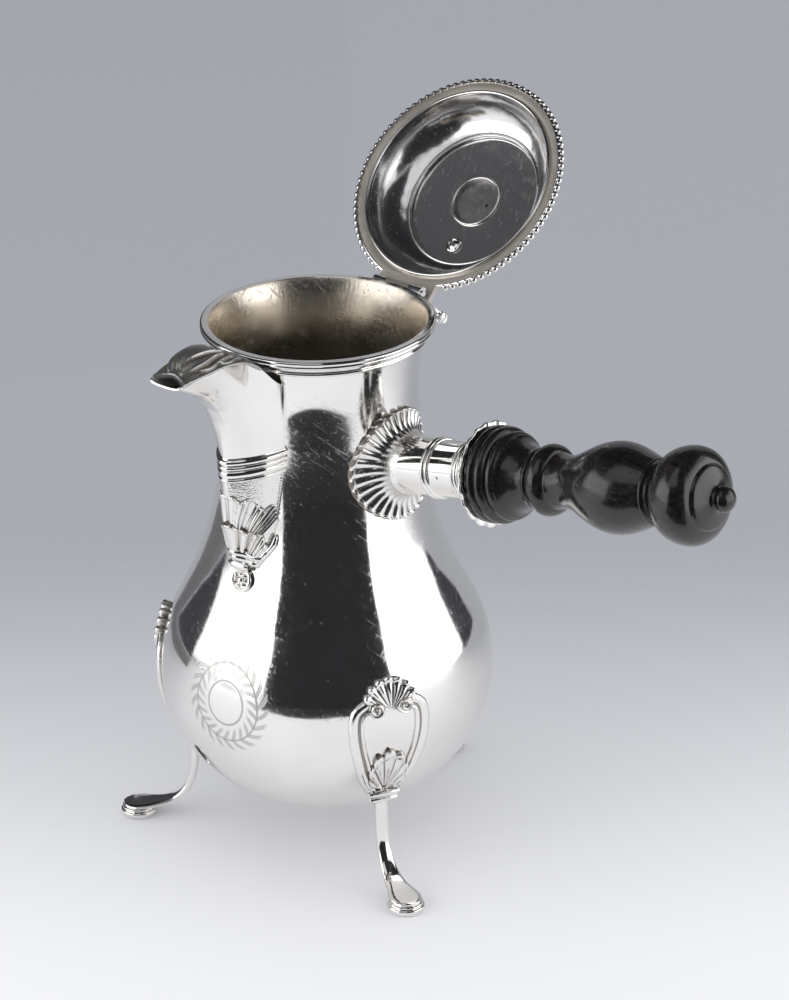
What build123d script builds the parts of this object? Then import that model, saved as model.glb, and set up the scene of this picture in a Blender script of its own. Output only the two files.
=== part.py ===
from build123d import *
from math import asin, atan2, cos, degrees, hypot, pi, radians, sin, sqrt
import os

# Side-handled chocolate pot on three feet, in millimetres.
# The origin is on the table at the pot's axis. +Z is up, the handle points
# along +X, the spout along -Y and the lid's hinge is at +Y.
# The lid is drawn shut and then turned open about its hinge.

# ---- the pot ----
RIM_Z = 202.5          # height of the mouth above the table
MOUTH_R = 39.1         # inside radius of the mouth
WALL = 1.2             # thickness of the raised silver
SEAM = 45.0            # where round surfaces close, clear of all fitted pieces
NECK_R = 35.7          # outside radius of the neck
NECK_Z = 166.0         # where the swelling starts, going down
FLARE_ROUND = 20.0     # radius of the curve that spreads to the mouth
BELLY_R = 61.0
BELLY_Z = 68.0
BELLY_ROUND = 50.0     # radius of the belly's curve, seen from the side
BASE_Z = 15.0          # lowest point of the belly above the table

# ---- rim moulding ----
LIP_R = 42.0
LIP_H = 2.7            # height of the lip
LIP_ROUND = 0.9
REED_DROP = 5.6        # the small reed's centre, below the mouth
REED_R = 0.9

# ---- spout ----
SPOUT_WALL = 1.2
SPOUT_FOOT_Z = 120.5   # lowest point of the pouch under the spout
SPOUT_FOOT_HALF = 5.8
SPOUT_HALF = 14.0      # half width where it meets the neck
SPOUT_NOSE = 51.3      # how far its front stands from the pot's axis
LIP_REACH = 80.0       # how far the pouring lip stands from the axis
LIP_HALF = 6.7         # half width of the pouring lip
LIP_RISE = 1.0         # the pouring lip above the mouth
WING_DROP = 10.5       # where the spout's edge meets the neck, below the mouth
COVER_RISE = 9.0       # top of the leaf cover above the mouth
COVER_GAP = 0.5        # cover from the lid's beads, when shut
COVER_FRONT = 75.5     # where the cover stops short of the pouring lip
BAND_LOW = 156.9       # the reeded band round the spout
BAND_REED = 1.15
BAND_REEDS = 4
BAND_PITCH = 2.15
SHELL_T = 1.0          # thickness of each tier of the shell ornament
SHELL_TOP = 154.2
SHELL_STEP = 142.0     # where the lower tier starts
SHELL_LOW = 127.5
SHELL_SAG = 17.0       # how far each tier's lobed edge drops to the sides
ROSE_Z = 115.6         # the small rose under the spout
ROSE_R = 4.6
ROSE_T = 2.8

# ---- handle ----
HANDLE_Z = 149.3       # where the handle's axis meets the pot's axis
HANDLE_RISE = 10.3     # degrees above level
ROSETTE_R = 20.3
ROSETTE_T = 1.5
ROSETTE_LOBES = 32
TUBE_R = 10.2
TUBE_WALL = 1.1
TRUMPET_R = 15.5       # radius where the tube spreads onto the rosette
TRUMPET_LEN = 9.0
PAN_S = 81.5           # station of the drip pan's edge along the handle
PAN_R = 18.6
PAN_T = 1.0
PAN_LEN = 6.5          # length of the pan's hollow flare
PAN_WAVES = 20
PAN_WAVE = 0.35
RING_1 = 57.6          # double ring on the tube
RING_2 = 72.0          # ring at the pan's back
RING_REED = 1.0
TENON_CLEAR = 0.15
TENON_LEN = 24.0
GRIP_R = 17.2          # the grip's base disc
GRIP_LEN = 103.8       # from the pan to the tip of the button
GRIP_NECK_R = 10.3
BEAD_R = 12.6
BULB_R = 16.1
BULB_NECK_R = 9.4
KNOB_R = 17.2
KNOB_NECK_R = 10.5
BUTTON_R = 4.8
PIN_R = 0.9            # cross pin that holds the grip in the tube
PIN_S = 62.5

# ---- feet ----
FOOT_TURN = 2.6        # degrees from the line opposite the hinge
FOOT_R = 72.5          # radius at which the pads stand
PAD_R = 6.7
PAD_H = 3.8
ANKLE_R = 50.9
LEG_HALF = 2.4         # half width at the ankle
LEG_HALF_LOW = 5.6     # half width on the pad
LEG_T = 3.3            # thickness at the ankle
LEG_TOP_Z = 43.0
FRAME_BASE_Z = 39.5    # the cartouche frame on the belly
FRAME_TOP_Z = 82.5
FRAME_HALF = 15.2
FRAME_BAND = 4.2
FRAME_T = 1.3          # thickness of the frame between its mouldings
FRAME_MOULD = 1.0      # further height of the two mouldings
MOULD_W = 1.25
CREST_R = 11.0         # shell on top of the frame
CREST_T = 2.8
VOLUTE_R = 2.2
PALMETTE_R = 14.5      # shell inside the frame's foot
PALMETTE_T = 2.2
COLLAR_R = 1.35
COLLAR_LEN = 11.6

# ---- lid ----
LID_GAP = 0.3          # lid above the rim, when shut
FLANGE_R = 41.3
BEAD_CIRCLE = 42.05    # radius of the row of beads
BEAD_STRIP = 0.8       # thickness of the strip that carries them
FLANGE_T = 1.2
BEADS = 90
BEAD_BALL = 1.35       # radius of each bead
BEZEL_R = 37.4
BEZEL_T = 0.9
BEZEL_H = 1.2          # short, so that it clears the flare as the lid swings
DOME_H = 15.6          # inside height of the dome
PLATE_R = 25.6         # flat inside the dome's top
PLATE_STEP = 1.2
STIR_R = 9.0           # hole for the stirrer
STIR_COLLAR = 1.0
STIR_COLLAR_H = 0.8
OPEN_DEG = 134.0

# ---- hinge ----
HINGE_OUT = 44.8       # hinge line from the pot's axis
HINGE_DROP = 2.5       # hinge line below the mouth
KNUCKLE_R = 2.3
HINGE_PIN_R = 1.1
PIN_CLEAR = 0.06
HINGE_HALF = 11.0
LEAF_HALF = 5.3        # half width of the lid's knuckle
KNUCKLE_GAP = 0.3
BRACKET_H = 11.0
LEAF_T = 2.2
LEAF_IN = 38.9         # inner edge of the leaf, just clear of the dome
THUMB_HALF = 12.6
THUMB_H = 14.9         # roll of the thumbpiece above the hinge line
THUMB_T = 1.4
THUMB_OUT = 2.3
ROLL_R = 2.3

# ---- swivelling finial ----
PIVOT_OUT = 18.5       # swivel's axis from the hole's centre
CAP_R = 11.0
CAP_T = 1.4
CAP_GAP = 0.15
CAP_EAR = 4.6
RIVET_R = 1.6
RIVET_CLEAR = 0.08
RIVET_HEAD = 2.9
FINIAL_H = 24.0
FINIAL_R = 7.6
VENT_R = 0.7
VENT_X = 4.3

HINGE_Z = RIM_Z - HINGE_DROP
LID_Z = RIM_Z + LID_GAP
PLATE_Z = LID_Z + DOME_H
TOP_Z = PLATE_Z + WALL
FLARE_R = MOUTH_R + WALL
HINGE_AXIS = Axis((0, HINGE_OUT, HINGE_Z), (1, 0, 0))
FOOT_ANGLES = [90 + FOOT_TURN, 210 + FOOT_TURN, 330 + FOOT_TURN]


# ---------------------------------------------------------------- helpers
def turned(*edges):
    """Solid of revolution about Z from edges drawn as (radius, height)."""
    return revolve(Plane.XZ * make_face(edges), Axis.Z)


def disc(radius, low, high, x=0.0, y=0.0):
    """Upright cylinder between two heights."""
    return Pos(x, y, (low + high) / 2) * Cylinder(radius, high - low)


def block(x0, x1, y0, y1, z0, z1):
    """Box from its limits."""
    middle = Pos((x0 + x1) / 2, (y0 + y1) / 2, (z0 + z1) / 2)
    return middle * Box(x1 - x0, y1 - y0, z1 - z0)


def bar_x(radius, x0, x1, y, z):
    """Cylinder along X."""
    lay = Pos((x0 + x1) / 2, y, z) * Rot(0, 90, 0)
    return lay * Cylinder(radius, x1 - x0)


def dome_arc(radius, low, high):
    """Arc of a round cap from its edge at one height to the axis at another."""
    rise = high - low
    ball = (radius ** 2 + rise ** 2) / (2 * abs(rise))
    turn = asin(min(1.0, radius / ball)) / 2
    way = 1 if rise > 0 else -1
    middle = (ball * sin(turn), high - way * ball * (1 - cos(turn)))
    return ThreePointArc((radius, low), middle, (0, high))


def moved_points(curve, count, shift):
    """Points on a flat curve, moved square to it: out for a rising curve."""
    points = []
    for i in range(count + 1):
        p = curve @ (i / count)
        d = curve % (i / count)
        points.append((p.X + shift * d.Y, p.Y - shift * d.X))
    return points


def solids_of(shape):
    """The solids of a shape, largest first."""
    return sorted(shape.solids(), key=lambda s: -s.volume)


# ---------------------------------------------------------------- the pot
# The half outline is a chain of arcs that touch: a cap on the axis, the belly,
# a hollow curve up to the neck, a straight neck and the flare to the mouth.
BELLY_IN = BELLY_R - BELLY_ROUND
CAP_DROP = BELLY_Z - BASE_Z
CAP_ROUND = (BELLY_IN ** 2 + CAP_DROP ** 2 - BELLY_ROUND ** 2) / (2 * (CAP_DROP - BELLY_ROUND))
SWELL = BELLY_R - NECK_R
NECK_RISE = NECK_Z - BELLY_Z
HOLLOW_ROUND = (SWELL ** 2 + NECK_RISE ** 2) / (2 * SWELL) - BELLY_ROUND
FLARE_OUT = FLARE_R - NECK_R
FLARE_Z = RIM_Z - sqrt(2 * FLARE_ROUND * FLARE_OUT - FLARE_OUT ** 2)


def toward(start, end, distance):
    """Point at a distance from start on the way to end."""
    run = hypot(end[0] - start[0], end[1] - start[1])
    share = distance / run
    return (start[0] + (end[0] - start[0]) * share, start[1] + (end[1] - start[1]) * share)


def arc_about(centre, radius, start, end):
    """Short arc about a centre between two points that lie on it."""
    middle = ((start[0] + end[0]) / 2, (start[1] + end[1]) / 2)
    return ThreePointArc(start, toward(centre, middle, radius), end)


def pot_solid(shift=0.0, top=RIM_Z):
    """The pot as a closed solid, its outline moved out by shift."""
    cap_c = (0, BASE_Z + CAP_ROUND)
    belly_c = (BELLY_IN, BELLY_Z)
    hollow_c = (NECK_R + HOLLOW_ROUND, NECK_Z)
    flare_c = (NECK_R + FLARE_ROUND, FLARE_Z)
    cap_r = CAP_ROUND + shift
    belly_r = BELLY_ROUND + shift
    neck_r = NECK_R + shift
    flare_r = FLARE_ROUND - shift
    foot = (0, BASE_Z - shift)
    low = toward(cap_c, belly_c, cap_r)
    turn = toward(belly_c, hollow_c, belly_r)
    mouth_r = flare_c[0] - sqrt(flare_r ** 2 - (RIM_Z - FLARE_Z) ** 2)
    whole = turned(
        arc_about(cap_c, cap_r, foot, low),
        arc_about(belly_c, belly_r, low, turn),
        arc_about(hollow_c, HOLLOW_ROUND - shift, turn, (neck_r, NECK_Z)),
        Line((neck_r, NECK_Z), (neck_r, FLARE_Z)),
        arc_about(flare_c, flare_r, (neck_r, FLARE_Z), (mouth_r, RIM_Z)),
        Polyline((mouth_r, RIM_Z), (mouth_r, RIM_Z + 3), (0, RIM_Z + 3), foot))
    return Rot(0, 0, SEAM) * whole & disc(2 * BELLY_R, BASE_Z - 20, top)


def pot_radius(z, shift=0.0):
    """Outside radius of the pot at a height above the belly."""
    if z > FLARE_Z:
        flat = FLARE_ROUND - shift
        return NECK_R + FLARE_ROUND - sqrt(flat ** 2 - (z - FLARE_Z) ** 2)
    if z > NECK_Z:
        return NECK_R + shift
    turn_z = BELLY_Z + NECK_RISE * BELLY_ROUND / (BELLY_ROUND + HOLLOW_ROUND)
    if z > turn_z:
        flat = HOLLOW_ROUND - shift
        return NECK_R + HOLLOW_ROUND - sqrt(flat ** 2 - (NECK_Z - z) ** 2)
    return BELLY_IN + sqrt((BELLY_ROUND + shift) ** 2 - (z - BELLY_Z) ** 2)


def rim_moulding(outer):
    """Lip and small reed under it, soldered round the mouth."""
    base = RIM_Z - LIP_H
    r0 = LIP_R - LIP_ROUND
    lip = turned(
        Line((NECK_R, base), (r0, base)),
        ThreePointArc((r0, base), (LIP_R, base + LIP_ROUND), (LIP_R - 0.3, RIM_Z - LIP_H / 2)),
        ThreePointArc((LIP_R - 0.3, RIM_Z - LIP_H / 2), (LIP_R, RIM_Z - LIP_ROUND),
                      (r0, RIM_Z)),
        Polyline((r0, RIM_Z), (NECK_R, RIM_Z), (NECK_R, base)))
    reed_z = RIM_Z - REED_DROP
    reed_at = pot_radius(reed_z) + REED_R * 0.45
    reed = Pos(0, 0, reed_z) * Torus(reed_at, REED_R)
    web = turned(Polyline(
        (NECK_R, reed_z), (reed_at + REED_R * 0.6, reed_z),
        (FLARE_R + 0.5, base + 0.05), (NECK_R, base + 0.05), (NECK_R, reed_z)))
    return (lip + reed + web) - outer


# ---------------------------------------------------------------- the spout
def spout_stations():
    """Heights with the spout's half width at the neck, in its middle, near
    its front, and its reach from the axis."""
    top = RIM_Z + LIP_RISE
    foot = SPOUT_FOOT_Z
    rise = RIM_Z - foot
    body = SPOUT_HALF
    root = SPOUT_FOOT_HALF
    nose = SPOUT_NOSE
    return [
        (foot, root, root * 0.80, root * 0.40, nose - 7.0),
        (foot + 0.128 * rise, body * 0.73, body * 0.60, body * 0.26, nose - 3.4),
        (foot + 0.256 * rise, body * 0.79, body * 0.65, body * 0.27, nose - 0.9),
        (foot + 0.415 * rise, body * 0.86, body * 0.70, body * 0.27, nose),
        (foot + 0.573 * rise, body * 0.95, body * 0.76, body * 0.28, nose + 0.3),
        (foot + 0.72 * rise, body * 1.01, body * 0.80, body * 0.31, nose + 3.3),
        (foot + 0.835 * rise, body * 1.04, body * 0.82, body * 0.38, nose + 8.4),
        (foot + 0.92 * rise, body * 0.97, body * 0.75, body * 0.44, nose + 16.2),
        (top - 0.4, body * 0.82, body * 0.62, LIP_HALF, LIP_REACH),
        (top + 3.0, body * 0.80, body * 0.61, LIP_HALF, LIP_REACH + 3.0),
    ]


def station_at(z):
    """The spout's widths and reach at any height, in a straight line between
    the two nearest stations."""
    rows = spout_stations()
    for low, high in zip(rows, rows[1:]):
        if z <= high[0]:
            break
    t = (z - low[0]) / (high[0] - low[0])
    return [a + t * (b - a) for a, b in zip(low[1:], high[1:])]


def spout_curve(z, root, middle, front, reach, grow):
    """The spout's round front at one height, from side to side."""
    start = NECK_R * 0.80
    half = (start + reach) / 2
    reach = reach + grow
    front_y = reach - 2.2
    return Plane.XY.offset(z) * Spline(
        (root + grow, -start), (middle + grow, -half), (front + grow * 0.7, -front_y),
        (0, -reach), (-front - grow * 0.7, -front_y), (-middle - grow, -half),
        (-root - grow, -start))


def spout_loft(grow, rows):
    """Spout as a closed solid, grown by a distance all round."""
    faces = []
    for z, root, middle, front, reach in rows:
        curve = spout_curve(z, root, middle, front, reach, grow)
        faces.append(make_face([curve, Line(curve @ 1, curve @ 0)]))
    return loft(faces)


def wing_edge():
    """Upper edge of the spout seen from the side, from the neck to the lip."""
    top = RIM_Z + LIP_RISE
    foot = RIM_Z - WING_DROP
    return Spline(
        (-NECK_R + 8.0, foot - 0.4), (-NECK_R - 2.3, foot + 1.5), (-NECK_R - 7.3, foot + 7.5),
        (-NECK_R - 12.3, top), (-NECK_R - 24.3, top + 1.4), (-COVER_FRONT, top + 0.7),
        (-LIP_REACH - 6.0, top - 0.4))


def above_edge(high=40.0):
    """Everything above the spout's upper edge."""
    edge = wing_edge()
    cap = RIM_Z + high
    face = make_face([edge, Polyline(edge @ 1, ((edge @ 1).X, cap), ((edge @ 0).X, cap),
                                     edge @ 0)])
    return extrude(Plane.YZ * face, 60, both=True)


def spout_shell(outer, above):
    """Hollow spout, open on top and into the neck."""
    rows = spout_stations()
    inner_rows = [list(r) for r in rows[1:]]
    inner_rows[0][0] = rows[1][0] - 1.0
    whole = spout_loft(0.0, rows)
    hollow = spout_loft(-SPOUT_WALL, inner_rows)
    shell = whole - hollow - outer - above
    return solids_of(shell)[0], hollow


def spout_cover(above, outer, rim):
    """Domed leaf plate over the spout, from the rim almost to the lip."""
    top = RIM_Z + LIP_RISE
    back = NECK_R + 5.0
    run = COVER_FRONT - back
    heights = [0.02, 0.10, 0.36, 0.80, 1.0, 0.98, 0.74, 0.40]
    places = [0.0, 0.14, 0.30, 0.48, 0.64, 0.78, 0.91, 1.0]

    def cover_face(t, share, inset):
        y = -(back + t * run)
        z_low = RIM_Z - WING_DROP
        half = SPOUT_HALF * 0.80 * (1 - t) + LIP_HALF * t - inset
        crown = top + share * (COVER_RISE - LIP_RISE) - inset
        shoulder = top - 0.6 + share * 3.0 - inset * 0.6
        arch = Spline((half, shoulder), (half * 0.66, shoulder + (crown - shoulder) * 0.70),
                      (0, crown), (-half * 0.66, shoulder + (crown - shoulder) * 0.70),
                      (-half, shoulder))
        sides = Polyline((-half, shoulder), (-half, z_low), (half, z_low), (half, shoulder))
        return Plane.XZ.offset(-y) * make_face([arch, sides])

    whole = loft([cover_face(t, s, 0.0) for t, s in zip(places, heights)])
    places[0] = -0.02
    places[-1] = 1.02
    hollow = loft([cover_face(t, s, SPOUT_WALL) for t, s in zip(places, heights)])
    cover = ((whole - hollow) & above) - outer - rim
    clear = disc(LIP_R, RIM_Z - 8, RIM_Z)
    clear = clear + disc(BEAD_CIRCLE + BEAD_BALL + COVER_GAP, RIM_Z, RIM_Z + 30)
    return solids_of(cover - clear)[0]


def spout_band(spout_full, outer):
    """Reeded band that wraps the spout from neck to neck."""
    high = BAND_LOW + BAND_PITCH * BAND_REEDS
    base_rows = [[z] + station_at(z) for z in (BAND_LOW, (BAND_LOW + high) / 2, high)]
    band = spout_loft(0.5, base_rows)
    for i in range(BAND_REEDS):
        z = BAND_LOW + BAND_PITCH * (i + 0.5)
        path = spout_curve(z, *station_at(z), grow=0.25)
        across = Plane(origin=path @ 0, z_dir=path % 0)
        band += sweep(across * Circle(BAND_REED), path)
    return solids_of(band - spout_full - outer)[0]


def scalloped(lobes, half, z_low, z_high, sag):
    """Outline across the spout: straight below, lobed along its upper edge."""
    edges = []
    step = 2 * half / lobes

    def crest(x):
        return z_high - sag * (x / half) ** 2

    for i in range(lobes):
        a = -half + i * step
        b = a + step
        tip = crest((a + b) / 2)
        edges.append(ThreePointArc((a, crest(a) - step * 0.4), ((a + b) / 2, tip),
                                   (b, crest(b) - step * 0.4)))
    edges.append(Polyline((half, crest(half) - step * 0.4), (half, z_low), (-half, z_low),
                          (-half, crest(half) - step * 0.4)))
    return make_face(edges)


def spout_ornament(spout_full, outer):
    """Two tiers of shell on the pouch under the band, with a rolled foot."""
    rows = [r for r in spout_stations() if r[0] < BAND_LOW + 12]
    upper = spout_loft(SHELL_T, rows)
    lower = spout_loft(SHELL_T * 2, rows)
    width = SPOUT_HALF + 3 * SHELL_T
    tier_1 = extrude(Plane.XZ * scalloped(5, width, SHELL_STEP - 3, SHELL_TOP, SHELL_SAG), 90)
    tier_2 = extrude(Plane.XZ * scalloped(5, width, SHELL_LOW, SHELL_STEP, SHELL_SAG), 90)
    skin = (upper & tier_1) + (lower & tier_2)
    foot_r = 2.4
    reach = station_at(SHELL_LOW)[3]
    roll = bar_x(foot_r, -6.2, 6.2, -reach + 1.2, SHELL_LOW - 0.6)
    skin = skin + roll
    return solids_of(skin - spout_full - outer)[0]


def spout_rose(outer, above_pieces):
    """Small rose that ends the spout on the belly."""
    r = pot_radius(ROSE_Z)
    slope = pot_radius(ROSE_Z - 2) - pot_radius(ROSE_Z + 2)
    tilt = degrees(atan2(slope, 4))
    knob = turned(
        Polyline((0, -3), (ROSE_R, -3), (ROSE_R, ROSE_T * 0.3)),
        ThreePointArc((ROSE_R, ROSE_T * 0.3), (ROSE_R * 0.86, ROSE_T * 0.72),
                      (ROSE_R * 0.5, ROSE_T * 0.62)),
        dome_arc(ROSE_R * 0.5, ROSE_T * 0.62, ROSE_T * 1.1),
        Line((0, ROSE_T * 1.1), (0, -3)))
    knob = Pos(0, -r, ROSE_Z) * Rot(90 - tilt, 0, 0) * knob
    stem = Pos(0, -r - 0.4, (ROSE_Z + SHELL_LOW) / 2) * Box(6.4, 4.4, SHELL_LOW - ROSE_Z)
    rose = (knob + stem) - outer
    for piece in above_pieces:
        rose = rose - piece
    return solids_of(rose)[0]


# ---------------------------------------------------------------- the handle
HANDLE_DIR = (cos(radians(HANDLE_RISE)), 0, sin(radians(HANDLE_RISE)))
HANDLE = Plane(origin=(0, 0, HANDLE_Z), x_dir=(0, 1, 0), z_dir=HANDLE_DIR).location


def handle_rosette(outer):
    """Scalloped plate that follows the neck round the handle's root."""
    step = 360 / ROSETTE_LOBES
    reach = ROSETTE_R - ROSETTE_R * pi / ROSETTE_LOBES * 0.55
    edges = []
    for i in range(ROSETTE_LOBES):
        a, m, b = [radians(step * (i + k)) for k in (0, 0.5, 1)]
        edges.append(ThreePointArc(
            (reach * cos(a), reach * sin(a)), (ROSETTE_R * cos(m), ROSETTE_R * sin(m)),
            (reach * cos(b), reach * sin(b))))
    prism = HANDLE * extrude(Plane.XY.offset(NECK_R * 0.5) * make_face(edges), NECK_R)
    plate = (prism & pot_solid(ROSETTE_T)) - outer
    return solids_of(plate)[0]


def tube_root():
    """Station where the handle's axis leaves the neck."""
    return pot_radius(HANDLE_Z + NECK_R * sin(radians(HANDLE_RISE))) + ROSETTE_T


def handle_tube(neck_skin):
    """Trumpet-mouthed tube that carries the grip."""
    root = tube_root()
    far = PAN_S - PAN_LEN
    outside = HANDLE * turned(
        Polyline((0, root - 14), (TRUMPET_R, root - 14), (TRUMPET_R, root - 1.5)),
        Spline((TRUMPET_R, root - 1.5), (TUBE_R + 0.4, root + TRUMPET_LEN * 0.62),
               (TUBE_R, root + TRUMPET_LEN + 3), tangents=[(-1, 0.55), (0, 1)]),
        Polyline((TUBE_R, root + TRUMPET_LEN + 3), (TUBE_R, far), (0, far), (0, root - 14)))
    bore = HANDLE * disc(TUBE_R - TUBE_WALL, root - 14, far + 1)
    return solids_of(outside - neck_skin - bore)[0]


def tube_ring(station, reeds):
    """Group of reeds round the tube."""
    ring = None
    for i in range(reeds):
        s = station + (i - (reeds - 1) / 2) * RING_REED * 1.9
        hoop = Pos(0, 0, s) * Torus(TUBE_R, RING_REED)
        ring = hoop if ring is None else ring + hoop
    inside = disc(TUBE_R, station - 6, station + 6)
    return HANDLE * solids_of(ring - inside)[0]


def drip_pan():
    """Flared pan with a waved edge at the end of the tube."""
    back = PAN_S - PAN_LEN
    bore = TUBE_R - TUBE_WALL
    flare = turned(
        Line((bore, back), (TUBE_R, back)),
        Spline((TUBE_R, back), (TUBE_R + 1.4, back + PAN_LEN * 0.55), (PAN_R, PAN_S - PAN_T),
               tangents=[(0, 1), (1, 0.12)]),
        Polyline((PAN_R, PAN_S - PAN_T), (PAN_R, PAN_S), (bore, PAN_S), (bore, back)))
    step = 360 / PAN_WAVES
    edges = []
    for i in range(PAN_WAVES):
        a, m, b = [radians(step * (i + k)) for k in (0, 0.5, 1)]
        low = PAN_R - PAN_WAVE
        edges.append(ThreePointArc((low * cos(a), low * sin(a)), (PAN_R * cos(m), PAN_R * sin(m)),
                                   (low * cos(b), low * sin(b))))
    wave = extrude(Plane.XY.offset(back - 1) * make_face(edges), PAN_LEN + 2)
    return HANDLE * solids_of(flare & wave)[0]


def handle_grip():
    """Turned wooden grip, its tenon in the tube and its button at the tip."""
    s0 = PAN_S
    tenon = TUBE_R - TUBE_WALL - TENON_CLEAR
    tip = s0 + GRIP_LEN
    bead = s0 + 25.5
    neck = bead + 9.8
    bulb = neck + 20.5
    collar = bulb + 16.0
    knob = tip - 17.4
    groove = knob + 7.4
    button = tip - BUTTON_R
    grip = turned(
        Polyline((0, s0 - TENON_LEN), (tenon, s0 - TENON_LEN), (tenon, s0), (GRIP_R - 0.5, s0)),
        ThreePointArc((GRIP_R - 0.5, s0), (GRIP_R, s0 + 1.8), (GRIP_R - 0.7, s0 + 3.6)),
        ThreePointArc((GRIP_R - 0.7, s0 + 3.6), (GRIP_R - 0.1, s0 + 5.6), (GRIP_R - 1.2, s0 + 7.6)),
        Line((GRIP_R - 1.2, s0 + 7.6), (GRIP_R - 2.0, s0 + 7.8)),
        ThreePointArc((GRIP_R - 2.0, s0 + 7.8), (GRIP_R - 2.2, s0 + 10.0),
                      (GRIP_R - 3.6, s0 + 11.6)),
        Spline((GRIP_R - 3.6, s0 + 11.6), (GRIP_NECK_R + 1.2, s0 + 16.2),
               (GRIP_NECK_R, bead - 4.8), tangents=[(-0.5, 1), (0.15, 1)]),
        ThreePointArc((GRIP_NECK_R, bead - 4.8), (BEAD_R, bead), (BEAD_R - 1.0, bead + 3.6)),
        Line((BEAD_R - 1.0, bead + 3.6), (BEAD_R - 1.7, bead + 3.9)),
        Spline((BEAD_R - 1.7, bead + 3.9), (BULB_NECK_R, neck), (BULB_R, bulb),
               tangents=[(-0.8, 1), (0, 1)]),
        Spline((BULB_R, bulb), (KNOB_NECK_R + 1.3, collar), tangents=[(0, 1), (-0.75, 1)]),
        Polyline((KNOB_NECK_R + 1.3, collar), (KNOB_NECK_R + 0.5, collar + 0.1),
                 (KNOB_NECK_R, collar + 2.6)),
        Spline((KNOB_NECK_R, collar + 2.6), (KNOB_R, knob), tangents=[(0.9, 0.9), (0, 1)]),
        Spline((KNOB_R, knob), (KNOB_R * 0.71, groove), tangents=[(0, 1), (-1, 0.3)]),
        Polyline((KNOB_R * 0.71, groove), (KNOB_R * 0.66, groove + 0.1)),
        Spline((KNOB_R * 0.66, groove + 0.1), (KNOB_R * 0.50, groove + 1.9),
               (BUTTON_R * 0.9, button - 2.4), tangents=[(-0.2, 1), (-0.8, 1)]),
        ThreePointArc((BUTTON_R * 0.9, button - 2.4), (BUTTON_R, button), (BUTTON_R * 0.62, tip - 2.2)),
        dome_arc(BUTTON_R * 0.62, tip - 2.2, tip),
        Line((0, tip), (0, s0 - TENON_LEN)))
    return HANDLE * grip


def grip_pin():
    """Cross pin through the tube and the tenon."""
    reach = TUBE_R + 0.35
    return HANDLE * (Pos(0, 0, PIN_S) * Rot(0, 90, 90) * Cylinder(PIN_R, 2 * reach))


# ---------------------------------------------------------------- the feet
def leg_section(r, z, dr, dz, half, thick):
    """Bar section with bevelled front corners, square to the leg's line."""
    bevel = min(half, thick) * 0.42
    t = thick / 2
    across = Plane(origin=(r, 0, z), x_dir=(0, 1, 0), z_dir=(dr, 0, dz))
    return across * make_face([Polyline(
        (-half, t), (half, t), (half, -t + bevel), (half - bevel, -t),
        (-half + bevel, -t), (-half, -t + bevel), (-half, t))])


def foot_leg(outer):
    """Leg that drops from the belly, sweeps out and ends in a round pad."""
    drop = LEG_TOP_Z - PAD_H
    reach = FOOT_R - ANKLE_R
    grow = LEG_HALF_LOW - LEG_HALF
    rows = [
        (ANKLE_R + 2.4, LEG_TOP_Z, -0.42, -0.91, LEG_HALF, LEG_T),
        (ANKLE_R + 0.5, LEG_TOP_Z - drop * 0.22, -0.12, -0.99, LEG_HALF, LEG_T),
        (ANKLE_R, LEG_TOP_Z - drop * 0.48, 0, -1, LEG_HALF, LEG_T),
        (ANKLE_R + reach * 0.04, LEG_TOP_Z - drop * 0.68, 0.30, -0.95, LEG_HALF + grow * 0.05,
         LEG_T * 0.96),
        (ANKLE_R + reach * 0.17, LEG_TOP_Z - drop * 0.84, 0.64, -0.77, LEG_HALF + grow * 0.15,
         LEG_T * 0.86),
        (ANKLE_R + reach * 0.40, LEG_TOP_Z - drop * 0.955, 0.86, -0.51, LEG_HALF + grow * 0.36,
         LEG_T * 0.74),
        (ANKLE_R + reach * 0.70, LEG_TOP_Z - drop * 1.025, 0.97, -0.24, LEG_HALF + grow * 0.70,
         LEG_T * 0.64),
        (FOOT_R, PAD_H * 0.62, 1, -0.08, LEG_HALF_LOW, LEG_T * 0.58),
    ]
    leg = loft([leg_section(*row) for row in rows])
    pad = turned(
        Line((0, 0), (PAD_R - 0.7, 0)),
        ThreePointArc((PAD_R - 0.7, 0), (PAD_R, PAD_H * 0.27), (PAD_R - 0.4, PAD_H * 0.52)),
        Line((PAD_R - 0.4, PAD_H * 0.52), (PAD_R - 0.8, PAD_H * 0.56)),
        ThreePointArc((PAD_R - 0.8, PAD_H * 0.56), (PAD_R - 0.5, PAD_H * 0.78), (PAD_R - 1.0, PAD_H)),
        Polyline((PAD_R - 1.0, PAD_H), (0, PAD_H), (0, 0)))
    leg = leg + Pos(FOOT_R, 0, 0) * pad
    floor = block(0, 2 * FOOT_R, -FOOT_R, FOOT_R, -20, 0)
    return solids_of(leg - floor - outer)[0]


def frame_curve():
    """Right half of the cartouche's outer edge, from its foot to its top."""
    tall = FRAME_TOP_Z - FRAME_BASE_Z
    z = FRAME_BASE_Z
    w = FRAME_HALF
    return Spline(
        (w * 0.36, z), (w * 0.61, z + tall * 0.13), (w * 0.82, z + tall * 0.33),
        (w * 0.95, z + tall * 0.53), (w, z + tall * 0.73), (w * 0.84, z + tall * 0.89),
        (w * 0.44, z + tall))


def shield(inset):
    """Cartouche outline as a face, drawn in from its edge by inset."""
    side = moved_points(frame_curve(), 8, -inset)
    right = Spline(*side)
    left = Spline(*[(-x, z) for x, z in reversed(side)])
    return make_face([right, Line(right @ 1, left @ 0), left, Line(left @ 1, right @ 0)])


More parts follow.
